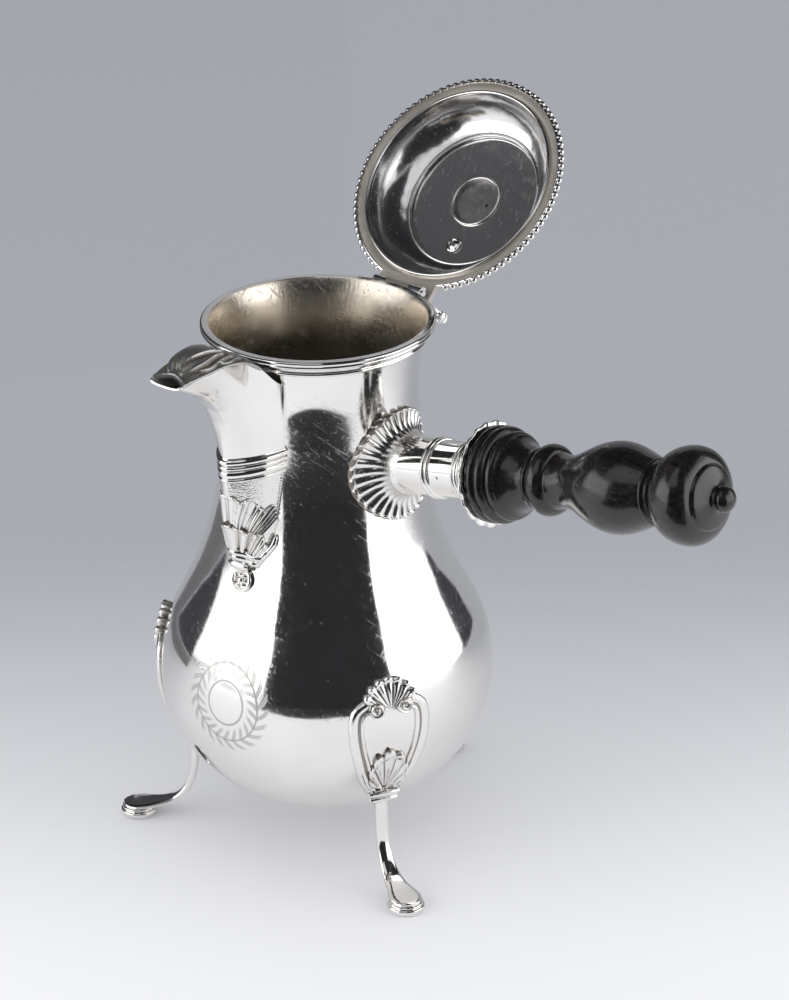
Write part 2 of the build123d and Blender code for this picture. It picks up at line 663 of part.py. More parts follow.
def fan(z, radius, half_angle, lobes, narrow):
    """Shell outline that opens upward from its root at height z."""
    edges = []
    step = 2 * half_angle / lobes

    def reach(angle):
        return radius * (1 - narrow * (angle / half_angle) ** 2)

    def at(angle, share):
        a = radians(angle)
        return (reach(angle) * share * sin(a), z + reach(angle) * share * cos(a))

    for i in range(lobes):
        a = -half_angle + i * step
        edges.append(ThreePointArc(at(a, 0.93), at(a + step / 2, 1.0), at(a + step, 0.93)))
    first, last = at(-half_angle, 0.93), at(half_angle, 0.93)
    edges.append(Polyline(last, (1.6, z), (-1.6, z), first))
    return make_face(edges)


def foot_cartouche(outer, leg):
    """Open frame on the belly with its shells, volutes and double collar."""
    crest_z = FRAME_TOP_Z - 5.6

    def on_belly(face, height):
        return extrude(Plane.YZ.offset(BELLY_R / 3) * face, BELLY_R) & pot_solid(height)

    ring = shield(0) - shield(FRAME_BAND)
    rails = (shield(0) - shield(MOULD_W)) + (shield(FRAME_BAND - MOULD_W) - shield(FRAME_BAND))
    piece = on_belly(ring, FRAME_T) + on_belly(rails, FRAME_T + FRAME_MOULD)
    crest = fan(crest_z - 1.0, CREST_R, 34, 7, 0.12)
    piece = piece + on_belly(crest, CREST_T)
    piece = piece + on_belly(fan(FRAME_BASE_Z, PALMETTE_R, 52, 7, 0.42), PALMETTE_T)
    for side in (-1, 1):
        dot = Pos(side * (VOLUTE_R + 2.6), crest_z) * Circle(VOLUTE_R)
        piece = piece + on_belly(dot, CREST_T + 0.3)
    for k in (0, 1):
        z = FRAME_BASE_Z - 0.6 - 2.6 * k
        r = ANKLE_R + 3.1 - 1.4 * k
        roll = Pos(r, 0, z) * Rot(90, 0, 0) * Cylinder(COLLAR_R, COLLAR_LEN * (1 - 0.10 * k))
        heel = block(ANKLE_R - 1.5, r, -COLLAR_LEN / 2.5, COLLAR_LEN / 2.5, z - 0.9, z + 0.9)
        piece = piece + roll + heel
    return solids_of(piece - outer - leg)[0]


# ---------------------------------------------------------------- the lid, shut
def lid_shell():
    """Domed lid with a flat flange and a flat top, pierced for the stirrer."""
    foot = BEZEL_R + 0.4
    inner_foot = BEZEL_R - BEZEL_T
    dome = turned(
        Polyline((0, LID_Z), (FLANGE_R, LID_Z), (FLANGE_R, LID_Z + FLANGE_T),
                 (foot, LID_Z + FLANGE_T)),
        Spline((foot, LID_Z + FLANGE_T), ((foot + PLATE_R) / 2 + 3.0, LID_Z + DOME_H * 0.66),
               (PLATE_R + 1.2, TOP_Z), tangents=[(-0.12, 1), (-1, 0.32)]),
        Polyline((PLATE_R + 1.2, TOP_Z), (0, TOP_Z), (0, LID_Z)))
    hollow = turned(
        Polyline((0, LID_Z - 1), (inner_foot, LID_Z - 1), (inner_foot, LID_Z)),
        Spline((inner_foot, LID_Z), ((foot + PLATE_R) / 2 + 1.7, LID_Z + DOME_H * 0.62),
               (PLATE_R + 0.7, PLATE_Z - PLATE_STEP), tangents=[(-0.12, 1), (-1, 0.42)]),
        Polyline((PLATE_R + 0.7, PLATE_Z - PLATE_STEP), (PLATE_R, PLATE_Z - PLATE_STEP),
                 (PLATE_R, PLATE_Z), (0, PLATE_Z), (0, LID_Z - 1)))
    hole = disc(STIR_R, PLATE_Z - 5, TOP_Z + 5)
    rivet = disc(RIVET_R + RIVET_CLEAR, PLATE_Z - 5, TOP_Z + 5, 0, PIVOT_OUT)
    return solids_of(dome - hollow - hole - rivet)[0]


def lid_bezel():
    """Ring under the lid that drops into the mouth."""
    return disc(BEZEL_R, LID_Z - BEZEL_H, LID_Z) - disc(BEZEL_R - BEZEL_T, LID_Z - BEZEL_H - 1,
                                                        LID_Z + 1)


def hinge_clear():
    """Room cut in the lid's edge for the hinge leaf."""
    return block(-THUMB_HALF, THUMB_HALF, LEAF_IN, HINGE_OUT + 5, LID_Z - 3, LID_Z + 6)


def lid_beading():
    """Strip with a row of beads round the lid's edge, open at the hinge."""
    z = LID_Z + BEAD_BALL
    strip = disc(FLANGE_R + BEAD_STRIP, LID_Z, z + 0.3) - disc(FLANGE_R, LID_Z - 1, z + 1)
    balls = []
    for i in range(BEADS):
        a = 2 * pi * (i + 0.5) / BEADS
        x, y = BEAD_CIRCLE * cos(a), BEAD_CIRCLE * sin(a)
        if y > 0 and abs(x) < THUMB_HALF + BEAD_BALL:
            continue
        balls.append(Pos(x, y, z) * Sphere(BEAD_BALL))
    row = strip.fuse(*balls)
    return row - disc(FLANGE_R, LID_Z - 1, LID_Z + FLANGE_T) - hinge_clear()


def hinge_leaf(lid, bezel):
    """Lid's hinge plate with its knuckle."""
    low = LID_Z
    plate = block(-THUMB_HALF, THUMB_HALF, LEAF_IN, HINGE_OUT + THUMB_OUT, low, low + LEAF_T)
    web = block(-LEAF_HALF, LEAF_HALF, HINGE_OUT - KNUCKLE_R * 0.8, HINGE_OUT + KNUCKLE_R * 0.8,
                HINGE_Z, low + LEAF_T / 2)
    knuckle = bar_x(KNUCKLE_R, -LEAF_HALF, LEAF_HALF, HINGE_OUT, HINGE_Z)
    bore = bar_x(HINGE_PIN_R + PIN_CLEAR, -HINGE_HALF, HINGE_HALF, HINGE_OUT, HINGE_Z)
    leaf = (plate + web + knuckle) - bore
    return solids_of(leaf - lid - bezel)[0]


def thumbpiece():
    """Plate that rises from the hinge leaf and ends in a roll."""
    y = HINGE_OUT + THUMB_OUT
    low = LID_Z + LEAF_T
    roll_z = HINGE_Z + THUMB_H
    plate = block(-THUMB_HALF, THUMB_HALF, y - THUMB_T, y, low, roll_z)
    roll = bar_x(ROLL_R, -THUMB_HALF - 0.9, THUMB_HALF + 0.9, y, roll_z)
    return plate + roll


def stir_collar():
    """Raised edge round the stirrer's hole, under the lid."""
    ring = disc(STIR_R + STIR_COLLAR, PLATE_Z - STIR_COLLAR_H, PLATE_Z)
    return ring - disc(STIR_R, PLATE_Z - 5, PLATE_Z + 5)


# ---------------------------------------------------------------- the finial
def finial_cap():
    """Swivelling plate that covers the hole, with an ear for its rivet."""
    low = TOP_Z + CAP_GAP
    high = low + CAP_T
    lean = degrees(atan2(CAP_R - CAP_EAR, PIVOT_OUT))
    a = radians(lean)
    side = [(CAP_R * cos(a), CAP_R * sin(a)), (CAP_EAR * cos(a), PIVOT_OUT + CAP_EAR * sin(a))]
    web = make_face([Polyline(side[0], side[1], (-side[1][0], side[1][1]),
                              (-side[0][0], side[0][1]), side[0])])
    cap = disc(CAP_R, low, high) + disc(CAP_EAR, low, high, 0, PIVOT_OUT)
    cap = cap + extrude(Plane.XY.offset(low) * web, CAP_T)
    cap = cap - disc(RIVET_R, low - 1, high + 1, 0, PIVOT_OUT)
    cap = cap - disc(VENT_R, low - 1, high + 1, VENT_X, 0)
    return cap


def finial_knob():
    """Turned bud on the cap, with a short foot."""
    s = TOP_Z + CAP_GAP + CAP_T
    h = FINIAL_H
    return turned(
        Polyline((0, s), (3.4, s), (3.4, s + 1.0)),
        ThreePointArc((3.4, s + 1.0), (2.3, s + h * 0.12), (2.6, s + h * 0.22)),
        ThreePointArc((2.6, s + h * 0.22), (4.0, s + h * 0.26), (3.0, s + h * 0.30)),
        Spline((3.0, s + h * 0.30), (FINIAL_R, s + h * 0.55), (2.6, s + h * 0.90), (0, s + h),
               tangents=[(1, 0.2), (-1, 0.05)]),
        Line((0, s + h), (0, s)))


def swivel_rivet():
    """Rivet that holds the cap, its head against the inside of the lid."""
    high = TOP_Z + CAP_GAP + CAP_T
    head = PLATE_Z - CAP_GAP
    shank = disc(RIVET_R, head, high, 0, PIVOT_OUT)
    low = Pos(0, PIVOT_OUT, head) * turned(
        Line((0, 0), (RIVET_HEAD, 0)),
        dome_arc(RIVET_HEAD, 0, -1.1),
        Line((0, -1.1), (0, 0)))
    top = Pos(0, PIVOT_OUT, high) * turned(
        Line((0, 0), (RIVET_HEAD * 0.8, 0)),
        dome_arc(RIVET_HEAD * 0.8, 0, 1.0),
        Line((0, 1.0), (0, 0)))
    return shank + low + top


# ---------------------------------------------------------------- pot's hinge side
def hinge_bracket(outer, rim):
    """Pot's two knuckles on a plate that follows the neck."""
    low = RIM_Z - BRACKET_H
    inner = LEAF_HALF + KNUCKLE_GAP
    bracket = None
    for side in (-1, 1):
        x0, x1 = sorted((side * inner, side * HINGE_HALF))
        ear = extrude(Plane.YZ.offset(x0) * make_face([Polyline(
            (NECK_R - 3, low), (NECK_R - 3, HINGE_Z), (HINGE_OUT, HINGE_Z + KNUCKLE_R * 0.7),
            (HINGE_OUT + KNUCKLE_R * 0.8, HINGE_Z - KNUCKLE_R * 0.5),
            (HINGE_OUT - 1.5, low + 4.5), (NECK_R - 3, low))]), x1 - x0)
        ear = ear + bar_x(KNUCKLE_R, x0, x1, HINGE_OUT, HINGE_Z)
        bracket = ear if bracket is None else bracket + ear
    depth = HINGE_OUT - KNUCKLE_R - 0.6
    plate = extrude(Plane.YZ.offset(-inner) * make_face([Polyline(
        (NECK_R - 3, low), (NECK_R - 3, HINGE_Z - 2), (depth, HINGE_Z - 2), (depth, low + 5.5),
        (NECK_R - 3, low))]), 2 * inner)
    bore = bar_x(HINGE_PIN_R, -HINGE_HALF - 1, HINGE_HALF + 1, HINGE_OUT, HINGE_Z)
    return solids_of((bracket + plate) - bore - outer - rim)[0]


def hinge_pin():
    """Pin through all the knuckles."""
    return bar_x(HINGE_PIN_R, -HINGE_HALF - 0.5, HINGE_HALF + 0.5, HINGE_OUT, HINGE_Z)


# ---------------------------------------------------------------- build and write
os.makedirs("parts", exist_ok=True)

pot_outer = pot_solid()
pot_inner = pot_solid(-WALL, RIM_Z + 2)
rim = rim_moulding(pot_outer)
above = above_edge()
spout, spout_hollow = spout_shell(pot_outer, above)
spout_full = spout_loft(0.0, spout_stations())
pour_limit = block(-SPOUT_HALF, SPOUT_HALF, -2 * NECK_R, 0, 0, RIM_Z - WING_DROP - 2)
pot = pot_outer - pot_inner - (spout_hollow & pour_limit)

nodes = {}
nodes["pot_body"] = solids_of(pot)[0]
nodes["rim_moulding"] = rim
nodes["spout_shell"] = spout
nodes["spout_cover"] = spout_cover(above, pot_outer, rim)
nodes["spout_band"] = spout_band(spout_full, pot_outer)
nodes["spout_ornament"] = spout_ornament(spout_full, pot_outer)
nodes["spout_rose"] = spout_rose(pot_outer, [spout_full, nodes["spout_ornament"]])

rosette = handle_rosette(pot_outer)
neck_skin = pot_solid(ROSETTE_T)
pin = grip_pin()
nodes["handle_rosette"] = rosette
nodes["handle_tube"] = handle_tube(neck_skin) - pin
nodes["handle_ring_near"] = tube_ring(RING_1, 2)
nodes["handle_ring_far"] = tube_ring(RING_2, 2)
nodes["handle_drip_pan"] = drip_pan()
nodes["handle_grip"] = handle_grip() - pin
nodes["handle_pin"] = pin

leg = foot_leg(pot_outer)
cartouche = foot_cartouche(pot_outer, leg)
for name, angle in zip(("back", "left", "right"), FOOT_ANGLES):
    nodes["foot_leg_" + name] = Rot(0, 0, angle) * leg
    nodes["foot_cartouche_" + name] = Rot(0, 0, angle) * cartouche

nodes["hinge_bracket"] = hinge_bracket(pot_outer, rim)
nodes["hinge_pin"] = hinge_pin()

shell = lid_shell() - hinge_clear()
bezel = lid_bezel()
lid_nodes = {
    "lid_shell": shell,
    "lid_bezel": bezel,
    "lid_beading": lid_beading(),
    "lid_hinge_leaf": hinge_leaf(shell, bezel),
    "lid_thumbpiece": thumbpiece(),
    "stirrer_hole_collar": stir_collar(),
    "finial_cap": finial_cap(),
    "finial_knob": finial_knob(),
    "finial_rivet": swivel_rivet(),
}
for name, piece in lid_nodes.items():
    nodes[name] = piece.rotate(HINGE_AXIS, -OPEN_DEG)

for name, piece in nodes.items():
    export_step(piece, "parts/" + name + ".step")
print(len(nodes), "nodes written")
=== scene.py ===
# %% [markdown]
# # A chocolate pot in raised silver
#
# This notebook dresses a side-handled chocolate pot. The solid model is packed
# first, so every piece here has a place to go to. Each cell before a step says
# what the piece is on the real pot, how it could be made, and why one way won.
# The frame comes first: it gives the bodies that pieces ride on.

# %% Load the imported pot
from math import atan2, cos, degrees, pi, radians, sin, sqrt

import bmesh
import bpy
import numpy as np
from mathutils import Matrix, Vector


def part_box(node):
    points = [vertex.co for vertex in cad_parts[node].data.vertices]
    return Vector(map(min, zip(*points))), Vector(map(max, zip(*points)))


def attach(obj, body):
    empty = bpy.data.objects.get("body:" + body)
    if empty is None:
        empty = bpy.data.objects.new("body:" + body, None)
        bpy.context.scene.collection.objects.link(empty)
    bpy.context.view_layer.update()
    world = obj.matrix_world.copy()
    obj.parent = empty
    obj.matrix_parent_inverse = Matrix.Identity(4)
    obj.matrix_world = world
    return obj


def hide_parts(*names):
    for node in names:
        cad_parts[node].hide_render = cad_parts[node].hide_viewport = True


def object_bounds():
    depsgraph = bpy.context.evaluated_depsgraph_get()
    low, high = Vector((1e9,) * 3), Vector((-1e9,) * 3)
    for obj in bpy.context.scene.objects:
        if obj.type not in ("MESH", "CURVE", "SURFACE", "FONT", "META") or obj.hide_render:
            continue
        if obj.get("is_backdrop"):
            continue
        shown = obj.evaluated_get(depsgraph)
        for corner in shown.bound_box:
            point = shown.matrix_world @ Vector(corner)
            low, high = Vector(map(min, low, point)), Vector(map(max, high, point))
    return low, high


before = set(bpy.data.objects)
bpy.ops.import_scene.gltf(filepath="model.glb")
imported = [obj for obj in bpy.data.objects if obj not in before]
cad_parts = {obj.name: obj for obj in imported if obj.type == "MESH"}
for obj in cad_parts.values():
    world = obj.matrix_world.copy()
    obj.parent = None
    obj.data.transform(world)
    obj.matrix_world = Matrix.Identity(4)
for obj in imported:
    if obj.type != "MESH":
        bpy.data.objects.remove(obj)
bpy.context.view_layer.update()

MM = 0.001
SHARP = 38              # degrees; an edge that turns more is creased

# %% [markdown]
# ## Sizes
#
# The pot is round about Z. Its outline is a chain of arcs that touch each
# other, which is how a raiser's template is drawn: a cap under the belly, the
# belly, a hollow curve up to the neck, a straight neck and a flare. The
# belly's width and the two ends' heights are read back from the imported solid.

# %% The pot's own sizes
belly_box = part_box("pot_body")
BELLY_R = belly_box[1].x
RIM_Z = belly_box[1].z
BASE_Z = belly_box[0].z
WALL = 1.2 * MM
BELLY_Z = 68.0 * MM
BELLY_ROUND = 50.0 * MM
NECK_R = 35.7 * MM
NECK_Z = 166.0 * MM
MOUTH_R = 39.1 * MM
FLARE_ROUND = 65.0 * MM

CAP_DROP = BELLY_Z - BASE_Z
BELLY_IN = BELLY_R - BELLY_ROUND
CAP_ROUND = (BELLY_IN ** 2 + CAP_DROP ** 2 - BELLY_ROUND ** 2) / (2 * (CAP_DROP - BELLY_ROUND))
SWELL = BELLY_R - NECK_R
HOLLOW_ROUND = (SWELL ** 2 + (NECK_Z - BELLY_Z) ** 2) / (2 * SWELL) - BELLY_ROUND
FLARE_OUT = MOUTH_R + WALL - NECK_R
FLARE_Z = RIM_Z - sqrt(2 * FLARE_ROUND * FLARE_OUT - FLARE_OUT ** 2)
print("belly", round(BELLY_R / MM, 1), "mm, mouth at", round(RIM_Z / MM, 1), "mm")

# %% [markdown]
# ## Curves and skins
#
# Silver shows every dent in its reflections, so the meshes have to be fine and
# smooth. A coarse mesh with a subdivision surface would do for one piece, but
# its edges creep. Here a curve is sampled densely where it matters, and three
# helpers turn curves into closed skins: one spins an outline, one runs a
# section along a path, and one lifts a relief off a surface.

# %% Curves through points


def mm(*points):
    """Points given in millimetres."""
    return np.array(points, float) * MM


def lengths(points):
    """Distance along a line of points, up to each one."""
    return np.r_[0, np.cumsum(np.linalg.norm(np.diff(points, axis=0), axis=1))]


def unit(vectors):
    """The same directions, one long."""
    return vectors / np.maximum(np.linalg.norm(vectors, axis=-1, keepdims=True), 1e-12)


def smooth(points, count, start=None, end=None):
    """Points of a cubic curve through the given ones, evenly over its length."""
    p = np.array(points, float)
    run = lengths(p)
    h = np.diff(run)
    n = len(p)
    a = np.zeros((n, n))
    b = np.zeros_like(p)
    for i in range(1, n - 1):
        a[i, i - 1], a[i, i], a[i, i + 1] = h[i], 2 * (h[i - 1] + h[i]), h[i - 1]
        b[i] = 3 * (h[i] * (p[i] - p[i - 1]) / h[i - 1] + h[i - 1] * (p[i + 1] - p[i]) / h[i])
    for row, near, way, step, want in ((0, 1, 1, h[0], start), (n - 1, n - 2, -1, h[-1], end)):
        a[row, row] = 1
        if want is None:
            a[row, near] = 0.5
            b[row] = 1.5 * way * (p[near] - p[row]) / step
        else:
            b[row] = np.array(want, float) / np.linalg.norm(want)
    d = np.linalg.solve(a, b)
    at = np.linspace(0, run[-1], count + 1)
    k = np.clip(np.searchsorted(run, at, side="right") - 1, 0, n - 2)
    t = ((at - run[k]) / h[k])[:, None]
    hk = h[k][:, None]
    return ((1 + 2 * t) * (1 - t) ** 2 * p[k] + t * (1 - t) ** 2 * hk * d[k]
            + t * t * (3 - 2 * t) * p[k + 1] + t * t * (t - 1) * hk * d[k + 1])


def even(curve, count):
    """The same curve with its points evenly spaced."""
    run = lengths(curve)
    at = np.linspace(0, run[-1], count + 1)
    return np.stack([np.interp(at, run, curve[:, k]) for k in range(curve.shape[1])], 1)


def arc(centre, radius, start, end, count):
    """Points of an arc; angles in degrees."""
    a = np.radians(np.linspace(start, end, count + 1))
    return np.stack([centre[0] + radius * np.cos(a), centre[1] + radius * np.sin(a)], 1)


def bend(r, z, radius, start, end, count):
    """An arc of an outline, given in millimetres."""
    return arc((r * MM, z * MM), radius * MM, start, end, count)


def chain(*runs):
    """One outline from several runs of points, without doubled points."""
    points = np.concatenate([np.atleast_2d(np.array(r, float)) for r in runs])
    step = np.linalg.norm(np.diff(points, axis=0), axis=1)
    return points[np.r_[True, step > 1e-7]]

# %% Skins from points


def new_object(name, data):
    """An object in the scene for a mesh, a lamp or a camera."""
    thing = bpy.data.objects.new(name, data)
    bpy.context.scene.collection.objects.link(thing)
    return thing


def mesh_piece(name, points, faces, sharp=SHARP):
    """A smooth-shaded piece from points and faces, creased at sharp angles."""
    mesh = bpy.data.meshes.new(name)
    mesh.from_pydata([tuple(p) for p in points], [], faces)
    mesh.validate()
    mesh.shade_smooth()
    mesh.set_sharp_from_angle(angle=radians(sharp))
    return new_object(name, mesh)


def grid_faces(rows, columns, wrapped=False):
    """Quads over a grid of points that is stored row by row; a wrapped row closes."""
    faces = []
    for i in range(0, (rows - 1) * columns, columns):
        for j in range(columns if wrapped else columns - 1):
            k = (j + 1) % columns
            faces.append((i + j, i + columns + j, i + columns + k, i + k))
    return faces


def spin(outline, steps=192, close=True):
    """Points and faces of an outline of (radius, height) spun about Z."""
    ring = np.linspace(0, 2 * pi, steps, endpoint=False)
    points, index = [], []
    for r, z in outline:
        if r < 1e-9:
            index.append([len(points)] * steps)
            points.append((0, 0, z))
        else:
            index.append(list(range(len(points), len(points) + steps)))
            points += [(r * cos(a), r * sin(a), z) for a in ring]
    faces = []
    rows = len(outline)
    for i in range(rows if close else rows - 1):
        low, high = index[i], index[(i + 1) % rows]
        for j in range(steps):
            k = (j + 1) % steps
            face = (low[j], low[k], high[k], high[j])
            face = tuple(dict.fromkeys(face))
            if len(face) > 2:
                faces.append(face)
    return np.array(points), faces


def turned_piece(name, outline, steps=192, close=True, place=None, sharp=SHARP):
    """A piece spun from its outline, then put in place."""
    area = sum(a[0] * b[1] - b[0] * a[1] for a, b in zip(outline, np.roll(outline, -1, 0)))
    if area < 0:
        outline = outline[::-1]
    piece = mesh_piece(name, *spin(outline, steps, close), sharp)
    if place is not None:
        piece.data.transform(place)
    return piece


def relief(name, u, v, lift, place, sink=0.35 * MM, soft=6, sharp=60):
    """A closed skin over a grid: its face is lifted, its back lies in the metal."""
    uu, vv = np.meshgrid(u, v, indexing="ij")
    high = lift(uu, vv)
    keep = np.maximum.reduce([high[:-1, :-1], high[1:, :-1], high[1:, 1:], high[:-1, 1:]]) > 0
    face = place(uu, vv, np.maximum(high, -0.5 * sink)).reshape(-1, 3)
    back = place(uu, vv, np.full(uu.shape, -sink)).reshape(-1, 3)
    n, m = uu.shape
    size = n * m
    faces = []

    def solid(i, j):
        return 0 <= i < n - 1 and 0 <= j < m - 1 and keep[i, j]

    for i, j in zip(*np.nonzero(keep)):
        cell = (i * m + j, (i + 1) * m + j, (i + 1) * m + j + 1, i * m + j + 1)
        faces.append(cell)
        faces.append(tuple(k + size for k in cell[::-1]))
        for k, down, along in ((0, 0, -1), (2, 0, 1), (3, -1, 0), (1, 1, 0)):
            if not solid(i + down, j + along):
                p, q = cell[k], cell[(k + 1) % 4]
                faces.append((q, p, p + size, q + size))
    level = high.copy()
    for _ in range(soft):
        level = (level + np.roll(level, 1, 0) + np.roll(level, -1, 0)
                 + np.roll(level, 1, 1) + np.roll(level, -1, 1)) / 5
    hollow = np.clip((level - high) / (0.16 * MM), 0, 1).reshape(-1)
    used = sorted({k for f in faces for k in f})
    number = {k: i for i, k in enumerate(used)}
    points = np.concatenate([face, back])[used]
    piece = mesh_piece(name, points, [tuple(number[k] for k in f) for f in faces], sharp)
    mark_hollow(piece, np.concatenate([hollow, hollow * 0])[used])
    return piece


def mark_hollow(piece, values):
    """Keeps on the mesh how deep in a hollow each point lies."""
    mark = piece.data.attributes.new("hollow", "FLOAT", "POINT")
    mark.data.foreach_set("value", np.array(values, np.float32))


def join(name, pieces):
    """Several made pieces as one."""
    with bpy.context.temp_override(active_object=pieces[0], object=pieces[0],
                                   selected_editable_objects=pieces, selected_objects=pieces):
        bpy.ops.object.join()
    pieces[0].name = name
    return pieces[0]


def face_out(piece):
    """Turns all faces of a closed mesh outward."""
    shape = bmesh.new()
    shape.from_mesh(piece.data)
    bmesh.ops.recalc_face_normals(shape, faces=shape.faces)
    shape.to_mesh(piece.data)
    shape.free()


def lofted(name, rings, sharp=50):
    """A closed piece through rings of points, with flat ends."""
    n, m = rings.shape[:2]
    faces = grid_faces(n, m, wrapped=True)
    faces += [tuple(range(m)), tuple((n - 1) * m + k for k in range(m - 1, -1, -1))]
    piece = mesh_piece(name, rings.reshape(-1, 3), faces, sharp)
    face_out(piece)
    return piece


def apply_modifiers(piece):
    """Gives a piece the mesh that its modifiers make."""
    mesh = bpy.data.meshes.new_from_object(piece.evaluated_get(bpy.context.evaluated_depsgraph_get()))
    piece.modifiers.clear()
    piece.data = mesh

# %% [markdown]
# ## Shader sums
#
# A material's pattern is a sum of noises and masks. Wiring each Math node by
# hand hides the sum, so a small class wraps a socket and lets Python's own
# operators add the nodes. Colours go through Mix nodes.

# %% A socket that can be added and multiplied


def operator(operation, swapped=False):
    """A Python operator that adds a Math node."""
    if swapped:
        return lambda wire, other: wire.sum(operation, other, wire)
    return lambda wire, other: wire.sum(operation, wire, other)


class Wire:
    """A socket of a node tree that takes part in Python sums."""

    __add__, __radd__ = operator("ADD"), operator("ADD", True)
    __sub__, __rsub__ = operator("SUBTRACT"), operator("SUBTRACT", True)
    __mul__, __rmul__ = operator("MULTIPLY"), operator("MULTIPLY", True)

    def __init__(self, tree, socket):
        self.tree = tree
        self.socket = socket

    def sum(self, operation, *values):
        """A Math node's result from wires and numbers."""
        node = self.tree.nodes.new("ShaderNodeMath")
        node.operation = operation
        for slot, value in zip(node.inputs, values):
            if isinstance(value, Wire):
                self.tree.links.new(value.socket, slot)
            else:
                slot.default_value = value
        return Wire(self.tree, node.outputs[0])

    def clamped(self):
        return self.sum("MINIMUM", self.sum("MAXIMUM", self, 0.0), 1.0)

    def between(self, low, high):
        """0 below low, 1 above high, and even between them."""
        return ((self - low) * (1.0 / (high - low))).clamped()


class Finish:
    """A material with one Principled shader, built node by node."""

    def __init__(self, name, **constants):
        self.material = bpy.data.materials.new(name)
        self.material.use_nodes = True
        self.tree = self.material.node_tree
        self.shader = self.tree.nodes["Principled BSDF"]
        for socket, value in constants.items():
            self.shader.inputs[socket.replace("_", " ")].default_value = value

    def node(self, kind, inputs, output=0, **settings):
        """Adds a node with its settings first, then its inputs."""
        node = self.tree.nodes.new(kind)
        for key, value in settings.items():
            setattr(node, key, value)
        for key, value in inputs.items():
            if isinstance(value, Wire):
                self.tree.links.new(value.socket, node.inputs[key])
            else:
                node.inputs[key].default_value = value
        return Wire(self.tree, node.outputs[output])

    def here(self):
        """Object coordinates in metres."""
        return self.node("ShaderNodeTexCoord", {}, "Object")

    def coordinates(self, names):
        """Object coordinates one by one, such as those named XY."""
        here = self.here()
        return [self.node("ShaderNodeSeparateXYZ", {"Vector": here}, k) for k in names]

    def noise(self, size, detail=2.0, stretch=(1, 1, 1), turn=(0, 0, 0)):
        """Noise from 0 to 1 of about the given grain in metres, turned and then stretched."""
        turned = self.node("ShaderNodeMapping", {"Vector": self.here(), "Rotation": turn})
        place = self.node("ShaderNodeMapping", {"Vector": turned, "Scale": stretch})
        return self.node("ShaderNodeTexNoise", {"Vector": place, "Scale": 1.0 / size, "Detail": detail})

    def mark(self, name):
        """A named value kept on the mesh."""
        return self.node("ShaderNodeAttribute", {}, "Fac", attribute_name=name)

    def blend(self, mask, low, high):
        """A colour between two by a mask."""
        low, high = [(*colour, 1) if isinstance(colour, tuple) else colour for colour in (low, high)]
        return self.node("ShaderNodeMix", {0: mask, 6: low, 7: high}, 2, data_type="RGBA")

    def wear(self, **links):
        """Links varying values to the shader's sockets."""
        for socket, value in links.items():
            self.tree.links.new(value.socket, self.shader.inputs[socket.replace("_", " ")])

    def bumped(self, height, distance):
        """Height as a bump, in metres."""
        self.wear(Normal=self.node("ShaderNodeBump", {"Height": height, "Distance": distance}))

# %% [markdown]
# ## Silver
#
# Polished silver is a mirror that is never quite flat. Raised silver keeps
# the marks of the planishing hammer as broad, shallow facets, and years of
# wiping leave hair scratches. The broad marks are bumps of a tenth or two of a
# millimetre, one or two centimetres apart. Tarnish stays in the hollows of
# chased work, which the relief helper stores on the mesh as a mark.

# %% Silver finishes
SILVER = (0.90, 0.885, 0.86)
SILVER_SHADE = (0.80, 0.775, 0.735)
TARNISH = (0.20, 0.17, 0.135)
ENGRAVED = (0.34, 0.32, 0.30)
WREATH_Z = 74.5 * MM
WREATH_TURN = radians(86)       # clockwise from the pot's X, seen from above
WREATH_REACH = 58.0 * MM        # the belly's radius there
WREATH_WIDE = 13.0 * MM
WREATH_TALL = 14.5 * MM
WREATH_LEAVES = 22.0
WREATH_SLANT = 17.0
WREATH_LINE = 0.56              # the inner line's size as a share of the wreath's


def silver(name, gloss, hammer, facet, scratch=0.5, shade=SILVER_SHADE, tone=SILVER, metal=1.0,
           streak=0.0, engraved=False):
    """Polished silver: gloss is its roughness, hammer the depth of its facets,
    streak the weight of upright brush marks."""
    finish = Finish(name, Metallic=metal)
    cloud = finish.noise(0.030, 3.0)
    broad = finish.noise(facet, 0.0)
    fine = finish.noise(facet * 0.4, 1.0)
    wiped = finish.noise(0.012, 4.0, (0.5, 0.5, 1.4))
    hair = finish.noise(0.0009, 2.0, (1.0, 1.0, 0.06))
    swept = finish.noise(0.0008, 1.0, (1.0, 1.0, 0.05), (0.9, 0.3, 0.0))
    crossed = finish.noise(0.0008, 1.0, (1.0, 1.0, 0.05), (-0.7, 0.6, 0.2))
    hollow = finish.mark("hollow")
    lines = hair.between(0.62, 0.80) * 0.5 + swept.between(0.60, 0.74) + crossed.between(0.60, 0.74)
    smudge = wiped.between(0.42, 0.75)
    colour = finish.blend(cloud.between(0.35, 0.75) * 0.6, tone, shade)
    colour = finish.blend(hollow * 0.92, colour, TARNISH)
    rough = gloss + smudge * 0.06 * scratch + lines * 0.13 * scratch
    height = broad + fine * 0.10 + lines * 0.006 * scratch + hair * streak
    if engraved:
        cut = wreath(finish)
        colour = finish.blend(cut * 0.7, colour, ENGRAVED)
        rough = rough + cut * 0.32
        height = height - cut * 0.06
    finish.wear(Base_Color=colour, Roughness=rough + hollow * 0.30)
    finish.bumped(height, hammer)
    return finish.material


